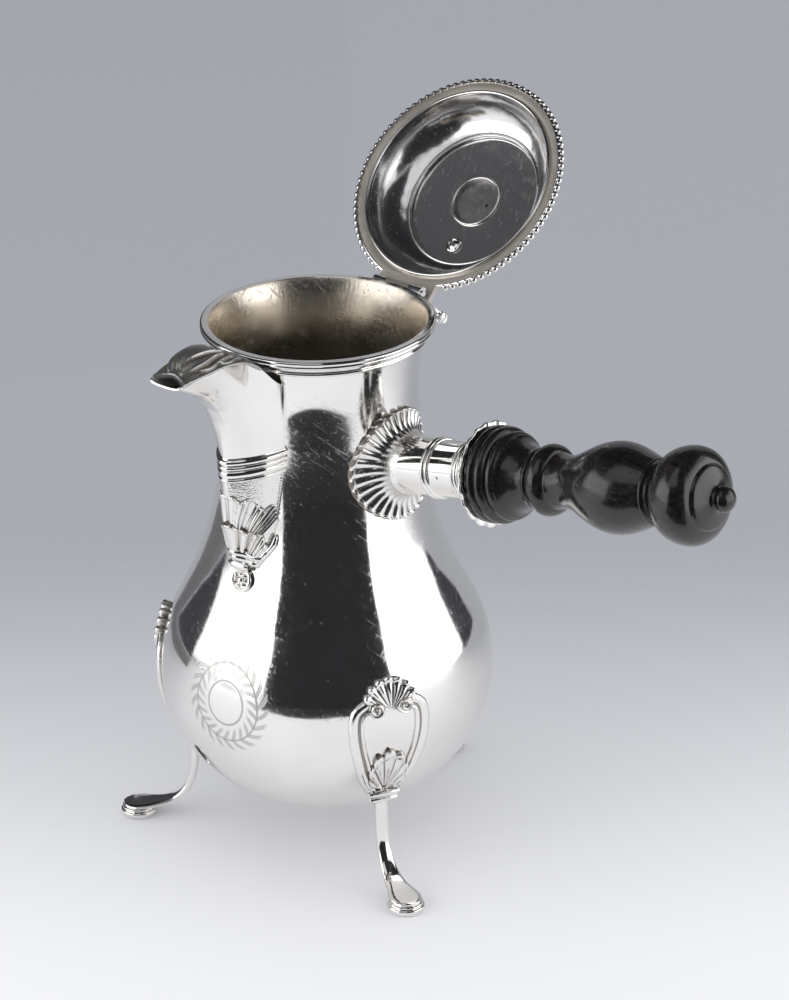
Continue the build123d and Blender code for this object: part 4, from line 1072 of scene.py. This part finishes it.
def rod(name, path, radius, sides=16):
    """A round rod along a path, rounded off at its ends."""
    tangent = unit(np.gradient(path, axis=0))
    side = np.array((0, -1.0, 0.2))
    ring = np.linspace(0, 2 * pi, sides, endpoint=False)[:, None]
    rings = []
    for point, ahead, share in zip(path, tangent, np.linspace(-1, 1, len(path))):
        side = unit(side - (side @ ahead) * ahead)
        half = radius * max(0.2, (1 - abs(share) ** 12) ** 0.5)
        rings.append(point + half * (np.cos(ring) * side + np.sin(ring) * np.cross(ahead, side)))
    return lofted(name, np.array(rings))


BEAK_MIDDLE = np.array((0, -38.0))      # millimetres; the rolls are lifted away from it


def swag_path(drop, out):
    """The roll's path on the sheet, lower by drop and lifted by out."""
    half = []
    for share, z in even(smooth(SWAG, 60), 60)[::-1]:
        row = level(z - drop, 200)
        place = np.array([np.interp((1 - min(share, 1.0)) * 100, np.arange(201), row[:, k]) for k in (0, 1)])
        x, y = place + unit(place - BEAK_MIDDLE) * out
        x += 0.9 * np.clip((share - 0.7) / 0.3, 0, 1)
        skin = pot_r((z - drop) * MM) / MM + 0.4
        if np.hypot(x, y) < skin:
            y = -sqrt(skin ** 2 - x ** 2)
        half.append((x, y, z - drop))
    return smooth(mirrored(np.array(half))[::2], 180) * MM


ROSE_Z = 116.1
rose_r = float(pot_r(ROSE_Z * MM)) / MM
rose_tilt = atan2(float(pot_r((ROSE_Z - 2) * MM) - pot_r((ROSE_Z + 2) * MM)), 4 * MM)
rose = turned_piece("rose_button", chain(
    mm((0, -1.2), (4.5, -1.2)), bend(3.9, 0.9, 0.75, -40, 170, 14),
    smooth(mm((3.1, 0.7), (2.5, 1.0), (1.9, 1.3), (1.5, 1.2)), 16),
    mm((1.4, 1.3), (1.35, 1.8), (0.9, 2.3), (0, 2.5))), 128, close=False)
for vertex in rose.data.vertices:
    r = np.hypot(vertex.co.x, vertex.co.y) / MM
    if 1.45 < r < 3.2 and vertex.co.z > 0:
        wave = abs(cos(3 * atan2(vertex.co.y, vertex.co.x))) ** 0.6
        vertex.co.z += 0.9 * MM * (wave - 0.4) * sin(pi * (r - 1.45) / 1.75)
rose.data.transform(Matrix.Translation(mm(0, -rose_r, ROSE_Z)) @ Matrix.Rotation(pi / 2 - rose_tilt, 4, "X"))


def barrel(name, z, out, half, radius):
    """A barrel that lies across the spout's point."""
    side = [(radius * 0.45, -half), (radius * 0.85, -half * 0.6)]
    outline = side + [(radius, 0)] + [(r, -x) for r, x in side[::-1]]
    return turned_piece(name, chain(mm((0, -half)), smooth(mm(*outline), 24), mm((0, half))), 48, close=False,
                        place=Matrix.Translation(mm(0, -out, z)) @ Matrix.Rotation(pi / 2, 4, "Y"))


rolls = [rod("swag_upper", swag_path(0.0, 1.2), 1.35 * MM), rod("swag_lower", swag_path(2.2, 1.1), 1.3 * MM),
         barrel("spool_wide", 122.6, rose_r + 1.5, 4.6, 1.9),
         barrel("spool_narrow", 120.9, rose_r + 0.5, 3.4, 1.1)]
rose = join("spout_rose_button", [rose] + rolls)
dress(rose, CHASED, "pot", ["spout_rose"])

# %% [markdown]
# ## Cartouches
#
# Each leg starts from a cast frame on the belly: a shield of two mouldings
# with a shell on top, a pair of volutes, and a small palmette at its foot.
# The casting is a relief over the belly. Its height is the highest of a few
# simple parts, each worked out from a distance or an angle, which is how such
# a pattern is carved: one part over another.

# %% Cartouche heights
SHIELD_LOW, SHIELD_TALL, SHIELD_HALF = 37.5, 42.5, 15.4
SHIELD = smooth([(SHIELD_HALF * w, SHIELD_LOW + SHIELD_TALL * t) for w, t in (
    (0.34, 0.0), (0.58, 0.13), (0.80, 0.33), (0.94, 0.53), (1.0, 0.74), (0.90, 0.90), (0.50, 1.0))], 160)
SHELL_ROOT = 74.4
PALM_ROOT = 39.0


def half_round(d, middle, half, height):
    """Height of a half-round moulding at distances from an edge."""
    return np.where(np.abs(d - middle) < half,
                    height * np.sqrt(np.clip(1 - ((d - middle) / half) ** 2, 0, 1)), -1)


def shell_part(x, z, root, reach, spread, lobes, base, swell):
    """A fan of convex flutes from a root, as high as its ridges."""
    r = np.hypot(x, z - root)
    angle = np.degrees(np.arctan2(x, z - root))
    share = (angle / spread + 1) / 2 * lobes
    crest = np.abs(np.sin(pi * share))
    edge = reach(angle) * (0.90 + 0.10 * crest ** 0.7)
    out = r / edge
    height = base + swell * crest ** 0.7 * np.clip(out * 1.6, 0, 1) * (1 - 0.25 * out)
    height = height + 0.5 * np.exp(-((out - 0.93) / 0.06) ** 2)
    return np.where((np.abs(angle) < spread) & (out < 1), height, -1)


def volute(x, z, cx, cz, size, height):
    """A scroll: a dome with a spiral groove."""
    r = np.hypot(x - cx, z - cz)
    turn = np.arctan2(z - cz, (x - cx) * np.sign(cx))
    groove = 0.5 + 0.5 * np.cos(2 * pi * r / (size * 0.52) - turn)
    dome = np.sqrt(np.clip(1 - (r / size) ** 2, 0, 1))
    return np.where(r < size, height * (0.62 + 0.38 * dome) - 0.75 * (1 - groove) * dome, -1)


def cartouche_height(across, up):
    """Height of the casting off the belly, for places across and up."""
    x, z = across / MM, up / MM
    a = np.abs(x)
    far = np.full(x.shape, 99.0)
    for px, pz in SHIELD[::2]:
        far = np.minimum(far, np.hypot(a - px, z - pz))
    inside = (a < np.interp(z, SHIELD[:, 1], SHIELD[:, 0])) & (z > SHIELD[0, 1]) & (z < SHIELD[-1, 1])
    d = np.where(inside, far, -far)
    fan = shell_part(x, z, SHELL_ROOT, lambda angle: 12.2 * (1 - 0.10 * (angle / 62) ** 2), 66, 7, 1.7, 1.5)
    palm = shell_part(x, z, PALM_ROOT, lambda angle: 19.5 * np.exp(-(angle / 54) ** 2), 58, 7, 0.6, 1.3)
    height = np.maximum.reduce([np.where((d > 0) & (d < 5.6), 0.45, -1), half_round(d, 1.75, 1.75, 1.75),
                                half_round(d, 4.75, 0.80, 1.25), fan, palm])
    for side in (-1, 1):
        scroll = volute(x, z, side * 5.3, 75.6, 2.9, 3.1)
        height = np.where(scroll > -1, scroll, height)
        height = np.maximum(height, volute(x, z, side * 5.2, 40.2, 1.9, 2.3))
    return height * MM


FOOT_TURNS = {"back": 92.6, "left": 212.6, "right": 332.6}


def collar_roll(name, radius, half, out, z, turn):
    """A small turned roll that lies across a leg."""
    r, end = radius - 0.4, half - 0.4
    outline = chain(mm((0, -half)), bend(r, -end, 0.4, -90, -10, 5),
                    mm((radius, -half * 0.4), (radius, half * 0.4)),
                    bend(r, end, 0.4, 10, 90, 5), mm((0, half)))
    place = (Matrix.Rotation(radians(turn), 4, "Z") @ Matrix.Translation(mm(out, 0, z))
             @ Matrix.Rotation(pi / 2, 4, "X"))
    return turned_piece(name, outline, 40, close=False, place=place)

# %% Cartouches
for name, turn in FOOT_TURNS.items():
    casting = relief("cartouche_" + name, np.linspace(-16.4, 16.4, 190) * MM,
                     np.linspace(36.9, 88.0, 290) * MM, cartouche_height,
                     lambda x, z, h, turn=turn: on_pot(x, z, h, radians(turn)), sink=0.5 * MM)
    casting = join("cartouche_" + name, [casting, collar_roll("collar_top", 1.35, 5.9, 52.9, 37.5, turn),
                                         collar_roll("collar_low", 1.2, 5.3, 52.4, 34.9, turn)])
    dress(casting, CHASED, "pot", ["foot_cartouche_" + name])

# %% [markdown]
# ## Legs
#
# A leg is a bar that drops from the collar, sweeps out and flattens like a
# spoon over a stepped round pad. Its line is one smooth curve; its width and
# thickness are given where they change and run evenly between. The section is
# a rounded bar, fuller at the back than at the bevelled front.

# %% Leg and pad
PAD_OUT = 72.5
LEG_LINE = smooth([(51.4, 42), (50.8, 33), (50.8, 22), (53.4, 12.6), (58.5, 7.2), (64.5, 5.0),
                   (70.0, 4.3), (78.2, 4.1)], 72)
LEG_SIZES = np.array([   # distance along, half width, thickness
    (0, 2.4, 3.3), (20, 2.45, 3.3), (30, 2.6, 3.1), (37, 3.1, 2.7), (43.5, 4.2, 2.2), (47, 5.2, 1.9),
    (51.2, 5.9, 1.7), (54.2, 5.1, 1.6), (56.4, 3.2, 1.4), (57.2, 0.6, 1.0)])


def leg_piece(name, turn):
    """One leg with its pad."""
    run = lengths(LEG_LINE)
    slope = unit(np.gradient(LEG_LINE, axis=0))
    sides = 28
    points = []
    for (r, z), (dr, dz), s in zip(LEG_LINE, slope, run / run[-1] * LEG_SIZES[-1, 0]):
        half, thick = (np.interp(s, LEG_SIZES[:, 0], LEG_SIZES[:, k]) for k in (1, 2))
        for a in np.linspace(0, 2 * pi, sides, endpoint=False):
            x = half * np.sign(cos(a)) * abs(cos(a)) ** 0.55
            out = thick / 2 * np.sign(sin(a)) * abs(sin(a)) ** 0.6
            if out > 0:
                out *= 1 - 0.30 * (abs(x) / half) ** 3
            points.append((r - dz * out, x, z + dr * out))
    leg = lofted(name, mm(*points).reshape(-1, sides, 3))
    pad = turned_piece(name + "_pad", chain(
        mm((0, 0), (6.2, 0)), bend(6.2, 0.6, 0.6, -90, 0, 5), bend(6.2, 1.6, 0.6, 0, 90, 5), mm((5.7, 2.3)),
        bend(5.7, 2.9, 0.5, -60, 60, 6), mm((5.3, 3.5), (5.2, 4.1), (0, 4.1))), 72,
        close=False, place=Matrix.Translation((PAD_OUT * MM, 0, 0)))
    leg = join(name, [leg, pad])
    face_out(leg)
    leg.data.transform(Matrix.Rotation(radians(turn), 4, "Z"))
    return leg


for name, turn in FOOT_TURNS.items():
    dress(leg_piece("leg_" + name, turn), POLISHED, "pot", ["foot_leg_" + name])

# %% [markdown]
# ## The lid
#
# The lid is drawn shut, as the smith made it, and every point is then turned
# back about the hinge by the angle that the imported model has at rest. Inside
# it is a flat plate in a hammered dome, with a ring that drops into the mouth.

# %% Lid sizes and its turn
HINGE_Y = 44.8 * MM
HINGE_Z = 200.0 * MM
OPEN_TURN = radians(134)
OPEN = (Matrix.Translation((0, HINGE_Y, HINGE_Z)) @ Matrix.Rotation(-OPEN_TURN, 4, "X")
        @ Matrix.Translation((0, -HINGE_Y, -HINGE_Z)))
LID_Z = RIM_Z + 0.3 * MM
ON_LID = OPEN @ Matrix.Translation((0, 0, LID_Z))
PLATE_H = 15.6 * MM
FINIAL_H = PLATE_H + WALL + 1.55 * MM
BEZEL_R = 37.4 * MM
UNDER_H = 1.0 * MM      # the flange's underside lies below this

# the outlines are in millimetres above the lid's lower face
lid = turned_piece("lid_dome", chain(
    mm((9.0, 15.6), (9.0, 16.8), (24.6, 16.8)), bend(25.4, 15.55, 1.2, 90, 20, 8),
    smooth(mm((26.9, 15.9), (31.0, 14.3), (35.2, 10.8), (37.8, 6.2), (38.6, 1.9)), 34,
           (1, -0.18), (0.1, -1)),
    mm((38.6, 2.3), (41.0, 2.0), (41.3, 1.7), (41.3, 0.5), (41.0, 0.4), (37.9, 1.0)),
    smooth(mm((36.8, 1.3), (35.9, 5.6), (33.4, 9.6), (29.8, 12.5), (26.9, 13.6)), 40,
           (-0.1, 1), (-1, 0.22)),
    bend(26.3, 14.0, 0.55, -60, -200, 10), bend(25.2, 15.1, 0.5, -20, 90, 6)), 256)
two_finishes(lid, HAMMERED, EDGED,
             lambda face: face.center.z < UNDER_H and np.hypot(face.center.x, face.center.y) > BEZEL_R)
lid.data.transform(ON_LID)
dress(lid, None, "lid", ["lid_shell"])

bezel = turned_piece("lid_bezel_ring", chain(
    mm((38.1, 1.2), (38.0, 0.6)), bend(37.3, 0.4, 0.65, 10, -190, 14), mm((36.6, 0.8), (36.6, 1.5))), 256,
    place=ON_LID)
dress(bezel, POLISHED, "lid", ["lid_bezel"])

collar = turned_piece("stirrer_hole_lip", chain(
    mm((9.0, 16.0)), bend(9.5, 15.25, 0.5, 180, 360, 12), mm((10.0, 15.6), (9.4, 16.0))), 96, place=ON_LID)
dress(collar, POLISHED, "lid", ["stirrer_hole_collar"])

# %% [markdown]
# ## Beads by Geometry Nodes
#
# The lid's edge carries a row of beads. Ninety separate spheres could be
# placed by a loop, but a node tree states the rule once: points on a circle,
# none where the hinge's leaf is, and one ball on each. The tree ends in real
# geometry, because instances don't leave the program.

# %% The bead tree


def bead_tree():
    """Node tree that sets a row of balls on a circle, open at the hinge."""
    tree = bpy.data.node_groups.new("bead_row", "GeometryNodeTree")
    tree.interface.new_socket("Geometry", in_out="OUTPUT", socket_type="NodeSocketGeometry")
    for name, kind in (("Beads", "Int"), ("Circle", "Float"), ("Ball", "Float"), ("Height", "Float"),
                       ("Gap", "Float"), ("Finish", "Material")):
        tree.interface.new_socket(name, in_out="INPUT", socket_type="NodeSocket" + kind)
    given = tree.nodes.new("NodeGroupInput").outputs

    def add(kind, operation=None, **links):
        """Adds a node; its first two inputs can also be named first and second."""
        node = tree.nodes.new(kind)
        if operation:
            node.operation = operation
        for key, value in links.items():
            target = node.inputs[{"first": 0, "second": 1}.get(key, key)]
            if isinstance(value, bpy.types.NodeSocket):
                tree.links.new(value, target)
            else:
                target.default_value = value
        return node.outputs

    row = add("GeometryNodeMeshCircle", Vertices=given["Beads"], Radius=given["Circle"])
    lift = add("ShaderNodeCombineXYZ", Z=given["Height"])
    moved = add("GeometryNodeTransform", Geometry=row[0], Translation=lift[0])
    ball = add("GeometryNodeMeshIcoSphere", Radius=given["Ball"], Subdivisions=3)
    here = add("GeometryNodeInputPosition")
    parts = add("ShaderNodeSeparateXYZ", Vector=here[0])
    wide = add("ShaderNodeMath", "ABSOLUTE", first=parts[0])
    clear = add("FunctionNodeCompare", "GREATER_THAN", first=wide[0], second=given["Gap"])
    front = add("FunctionNodeCompare", "LESS_THAN", first=parts[1])
    either = add("FunctionNodeBooleanMath", "OR", first=clear[0], second=front[0])
    placed = add("GeometryNodeInstanceOnPoints", Points=moved[0], Selection=either[0], Instance=ball[0])
    real = add("GeometryNodeRealizeInstances", Geometry=placed[0])
    soft = add("GeometryNodeSetShadeSmooth", Geometry=real[0])
    done = add("GeometryNodeSetMaterial", Geometry=soft[0], Material=given["Finish"])
    add("NodeGroupOutput", first=done[0])
    return tree


def grown(name, tree, **values):
    """The tree's result as a plain mesh piece."""
    seed = new_object(name, bpy.data.meshes.new(name + "_seed"))
    grower = seed.modifiers.new("grow", "NODES")
    grower.node_group = tree
    sockets = {s.name: s.identifier for s in tree.interface.items_tree if s.in_out == "INPUT"}
    for key, value in values.items():
        grower[sockets[key]] = value
    apply_modifiers(seed)
    return seed


THUMB_HALF = 12.6 * MM
beads = grown("bead_row", bead_tree(), Beads=90, Circle=41.98 * MM, Ball=1.42 * MM,
              Height=1.38 * MM, Gap=THUMB_HALF + 1.2 * MM, Finish=POLISHED)
strip = turned_piece("bead_strip", chain(
    mm((41.2, 0.05), (41.7, 0.05)), bend(41.6, 0.7, 0.65, -80, 80, 8), mm((41.4, 1.4), (41.2, 1.4))), 256)
strip.data.materials.append(POLISHED)
beads = join("lid_beads", [beads, strip])
beads.data.transform(ON_LID)
dress(beads, None, "lid", ["lid_beading"])

# %% [markdown]
# ## Hinge and thumbpiece
#
# The thumbpiece is a plate that stands on the hinge leaf and rolls over at
# its end. Pressing the roll back lifts the lid. The roll's ends are turned
# bosses, which catch the light beside the rim.

# %% Thumbpiece
ROLL_Y = HINGE_Y + 2.3 * MM
ROLL_Z = HINGE_Z + 14.9 * MM
roll_end = chain(mm((0, -13.9), (0.5, -13.9)), bend(0.5, -13.5, 0.35, -80, 0, 5), mm((1.25, -13.35)),
                 bend(1.75, -13.05, 0.5, -90, 60, 8), mm((1.7, -12.5), (1.75, -11.9)))
roll = turned_piece("thumb_roll", chain(roll_end, smooth(mm((2.2, -11.6), (2.25, 0), (2.2, 11.6)), 8),
                                        (roll_end * (1, -1))[::-1]), 64, close=False, sharp=32,
                    place=Matrix.Translation((0, ROLL_Y, ROLL_Z)) @ Matrix.Rotation(pi / 2, 4, "Y"))
line = smooth(mm((47.0, 204.9), (46.3, 207.5), (46.0, 210.5), (46.4, 213.0), (47.3, 214.9)), 24)
skin = []
for (y, z), share in zip(line, np.linspace(0, 1, len(line))):
    half = THUMB_HALF * (1.0 - 0.10 * sin(pi * share))
    corners = ((-half, 0.5), (-half, -0.5), (half, -0.5), (half, 0.5))
    skin.append([(x, y + push * MM, z) for x, push in corners])
plate = lofted("thumb_plate", np.array(skin), SHARP)
thumb = join("thumbpiece_rolled", [plate, roll])
thumb.data.transform(OPEN)
dress(thumb, POLISHED, "lid", ["lid_thumbpiece"])

# %% [markdown]
# ## The swivelling finial
#
# A plate on the lid covers the stirrer's hole and turns aside on a rivet. The
# finial is a turned bud on that plate. The photograph shows only the plate
# through the hole, so the bud is a plain form of the period, with shallow
# flutes made by waving the spun skin.

# %% Finial
bud = turned_piece("finial_bud", chain(
    mm((0, 0), (5.6, 0)), bend(5.6, 0.5, 0.5, -90, 90, 8),
    mm((4.0, 1.2)), smooth(mm((3.0, 1.6), (2.1, 3.4), (2.6, 5.4)), 12, (-1, 0.3), (0.5, 1)),
    bend(2.9, 6.3, 0.9, -70, 70, 10),
    smooth(mm((2.8, 7.4), (6.2, 9.8), (7.6, 13.2), (6.0, 17.6), (3.0, 20.6)), 44, (1, 0.3), (-1, 0.9)),
    bend(1.9, 21.6, 1.1, -40, 90, 10),
    smooth(mm((1.2, 22.9), (0.9, 23.6), (0, 24.0)), 8, (-0.3, 1), (-1, 0))), 180, close=False, sharp=30)
FLUTES = 12
for vertex in bud.data.vertices:
    share = (vertex.co.z / MM - 7.4) / 13.4
    if 0 < share < 1:
        turn = FLUTES * (atan2(vertex.co.y, vertex.co.x) + 0.6 * share)
        wave = 1 - 0.055 * sin(pi * share) * (0.5 - 0.5 * cos(turn))
        vertex.co.x *= wave
        vertex.co.y *= wave
bud.data.transform(ON_LID @ Matrix.Translation((0, 0, FINIAL_H)))
dress(bud, POLISHED, "finial", ["finial_knob"])

# %% Rivet
HEAD = mm((0, 0), (2.75, 0), (2.9, 0.3), (2.75, 0.65), (2.45, 0.75), (2.2, 0.55), (2.0, 0.45), (1.7, 0.6),
          (1.2, 0.85), (0.6, 0.95), (0, 0.98))
rivet_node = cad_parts["finial_rivet"]
to_lid = ON_LID.inverted() @ rivet_node.matrix_world
shank = np.array([to_lid @ v.co for v in rivet_node.data.vertices])
low, high = shank.min(0), shank.max(0)
rivet_at = ON_LID @ Matrix.Translation(((low[0] + high[0]) / 2, (low[1] + high[1]) / 2, 0))
heads = [turned_piece(name, HEAD * (1, way) + (0, face), 64, close=False, place=rivet_at)
         for name, face, way in (("rivet_head_low", PLATE_H - 0.02 * MM, -1),
                                 ("rivet_head_high", high[2] - MM, 1))]
rivet = join("rivet_heads", heads)
dress(rivet, SHEET, "finial", ["finial_rivet"])

# %% [markdown]
# ## The solids that stay
#
# Small flat-faced fittings are right as they are: the hinge's leaf and pin, the
# grip's pin and the swivel's plate. They only get the finish. The bracket is
# redrawn from its own solid, because its foot has to end inside the neck's sheet.

# %% Hinge bracket
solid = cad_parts["hinge_bracket"]
bracket = new_object("hinge_bracket_fitted", solid.data.copy())
bracket.data.transform(solid.matrix_world)
for vertex in bracket.data.vertices:
    r = np.hypot(vertex.co.x, vertex.co.y)
    least = float(pot_r(vertex.co.z)) - 0.5 * WALL
    if r < least:
        vertex.co.x *= least / r
        vertex.co.y *= least / r
dress(bracket, POLISHED, "pot", ["hinge_bracket"])

# %% Finishes on kept solids
KEPT_FINISHES = {"finial_cap": SATIN, "lid_hinge_leaf": EDGED}
for name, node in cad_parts.items():
    node.data.materials.clear()
    node.data.materials.append(KEPT_FINISHES.get(name, POLISHED))

# %% [markdown]
# ## Camera
#
# The photograph was taken from the handle's side and a little above, with a
# long lens. The view is set by where it looks, how far it stands and its small
# turns, all fitted to the mouth's and the lid's ellipses.

# %% Camera
VIEW_AZ = radians(41.363)
VIEW_EL = radians(25.246)
VIEW_FAR = 1.6543
AIM = Vector((0, 0, 0.110))
ROLL, TILT, PAN = radians(1.481), radians(-0.648), radians(0.903)
FOCAL = 4.5549          # the focal length in picture heights
SENSOR = 36
back = Vector((sin(VIEW_AZ) * cos(VIEW_EL), -cos(VIEW_AZ) * cos(VIEW_EL), sin(VIEW_EL)))
side = Vector((0, 0, 1)).cross(back).normalized()
axes = Matrix((side, back.cross(side), back))
axes = (Matrix.Rotation(ROLL, 3, "Z") @ Matrix.Rotation(TILT, 3, "X")
        @ Matrix.Rotation(PAN, 3, "Y") @ axes)
lens = bpy.data.cameras.new("view")
lens.sensor_width = SENSOR
lens.lens = SENSOR * FOCAL
lens.clip_end = 20
camera = new_object("view", lens)
camera.matrix_world = Matrix.Translation(AIM + back * VIEW_FAR) @ axes.transposed().to_4x4()
bpy.context.scene.camera = camera
print("camera at", [round(v, 3) for v in camera.matrix_world.translation])

# %% [markdown]
# ## Studio
#
# Silver shows the room, so the room is half of the finish. It has a pale sweep
# of paper, a broad soft light on each side, and a dark gap between them where
# the camera stands. The gap, the sides, the ceiling and parts of the table are
# cards that only reflections see: any black or grey in silver has to be in the
# room. The paper darkens away from the camera by its colour: this is painted
# shade, standing in for the light that falls off behind the pot.

# %% Sweep of paper
FORWARD = Vector((-sin(VIEW_AZ), cos(VIEW_AZ), 0))
PAPER_NEAR = (0.90, 0.90, 0.925)
# painted shade: the paper's colour behind the pot, darker because the light falls off there
PAPER_FAR_PAINTED_SHADE = (0.38, 0.39, 0.42)
FLOOR_HALF = 2.6


def paper():
    """Matt paper, pale near the camera and greyer behind the pot; the grey behind is painted shade, for the
    light that falls off there.
    """
    finish = Finish("paper", Roughness=0.75)
    x, y = finish.coordinates("XY")
    # painted shade: the paper turns grey away from the camera, in place of the light falling off
    away = (x * FORWARD.x + y * FORWARD.y).between(-0.13, 0.27)
    away = away * away * (3.0 - 2.0 * away)
    grain = finish.noise(0.004, 2.0)
    colour = finish.blend(away, PAPER_NEAR, PAPER_FAR_PAINTED_SHADE)
    finish.wear(Base_Color=finish.blend(grain.between(0.3, 0.7) * 0.02, colour, (0.9, 0.9, 0.9)))
    return finish.material


def stage_sheet(name, points, faces, finish, **seen):
    """A sheet of the room, with what kinds of ray see it."""
    sheet = mesh_piece(name, points, faces)
    sheet.data.materials.append(finish)
    for key, value in seen.items():
        setattr(sheet, "visible_" + key, value)
    sheet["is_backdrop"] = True


corners = [(FLOOR_HALF * x, FLOOR_HALF * y, 0) for x, y in ((-1, -1), (1, -1), (1, 1), (-1, 1))]
stage_sheet("floor", corners, [(0, 1, 2, 3)], paper())

# %% Soft lights


def room_point(azimuth, elevation, far):
    """A place in the room, from the point that the camera looks at."""
    a, e = radians(azimuth), radians(elevation)
    return Vector((sin(a) * cos(e), -cos(a) * cos(e), sin(e))) * far + AIM


def soft_light(name, azimuth, elevation, width, height, far, level):
    """A broad rectangular light that faces the pot; level is its brightness."""
    lamp = bpy.data.lights.new(name, "AREA")
    lamp.shape = "RECTANGLE"
    lamp.size, lamp.size_y = width, height
    lamp.energy = level * width * height * pi
    holder = new_object(name, lamp)
    holder.location = room_point(azimuth, elevation, far)
    holder.rotation_euler = (holder.location - AIM).to_track_quat("Z", "Y").to_euler()
    holder.visible_camera = False


soft_light("soft_left", -31, 18, 1.42, 0.78, 1.2, 1.1)
soft_light("soft_right", 116.5, 12, 1.46, 0.74, 1.2, 1.1)

# %% Cards
UNSEEN = dict(camera=False, diffuse=False, shadow=False, transmission=False, volume_scatter=False)


def card_finish(name, tone, blue=1.3):
    """Matt card of an even tone with a little cloud in it, bluer where it is lighter."""
    finish = Finish(name, Roughness=0.9)
    cloud = finish.noise(0.4, 1.0)
    low, high = tone * 0.8, tone * 1.2
    finish.wear(Base_Color=finish.blend(cloud, (low, low, low), (high, high, high * blue)))
    return finish.material


BLACK_CARD = card_finish("black_card", 0.014)
GREY_CARD = card_finish("grey_card", 0.05)
PALE_CARD = card_finish("pale_card", 0.40, 1.05)
CARD_STEPS = 12


def card(name, azimuth_low, azimuth_high, edges, finish, place):
    """A card round the pot, seen only in reflections; place puts its two edges."""
    turns = np.linspace(azimuth_low, azimuth_high, CARD_STEPS + 1)
    points = [place(turn, edge) for turn in turns for edge in edges]
    stage_sheet(name, points, grid_faces(CARD_STEPS + 1, 2), finish, **UNSEEN)


def upright_card(name, azimuth_low, azimuth_high, low, high, far, finish):
    """A card that stands at a distance, between two elevations."""
    card(name, azimuth_low, azimuth_high, (low, high), finish,
         lambda turn, edge: room_point(turn, edge, far / cos(radians(edge))))


def flat_card(name, azimuth_low, azimuth_high, near, far, height, finish):
    """A level card at a height, between two distances."""
    card(name, azimuth_low, azimuth_high, (near, far), finish,
         lambda turn, edge: (sin(radians(turn)) * edge, -cos(radians(turn)) * edge, height))


upright_card("dark_front", 0, 85, -20, 39, 0.9, BLACK_CARD)
upright_card("side_left", -130, -63, -5, 39, 1.1, GREY_CARD)
upright_card("side_back", 149, 172, -5, 39, 1.1, GREY_CARD)
upright_card("behind", 172, 230, -5, 39, 1.1, PALE_CARD)
CEILING_R, CEILING_Z, CEILING_SIDES = 1.6, 1.36, 48
ring = [(CEILING_R * cos(a), CEILING_R * sin(a), CEILING_Z)
        for a in np.linspace(0, 2 * pi, CEILING_SIDES, endpoint=False)]
stage_sheet("dark_ceiling", ring, [tuple(range(CEILING_SIDES))], BLACK_CARD, **UNSEEN)
toward = -FORWARD
aside = Vector((-toward.y, toward.x, 0))
corners = [toward * far + aside * wide + Vector((0, 0, 0.001)) for far, wide in (
    (0.345, -0.33), (0.90, -0.80), (0.90, 0.80), (0.345, 0.33))]
stage_sheet("dark_table", corners, [(0, 1, 2, 3)], BLACK_CARD, **UNSEEN)
flat_card("grey_table", -140, -63, 0.45, 1.1, 0.001, card_finish("table_card", 0.13, 1.1))
flat_card("pale_overhead", -25, 45, 0.21, 1.45, 1.30, card_finish("overhead_card", 0.80, 1.0))
flat_card("grey_overhead", -90, -30, 0.6, 1.5, 1.32, card_finish("dim_card", 0.09, 1.1))

# %% World
world = bpy.data.worlds.new("room")
bpy.context.scene.world = world
world.use_nodes = True
world.node_tree.nodes["Background"].inputs[0].default_value = (0.94, 0.95, 0.97, 1)
world.node_tree.nodes["Background"].inputs[1].default_value = 1.0
bpy.context.scene.view_settings.view_transform = "Standard"

# %% Finish
low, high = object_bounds()
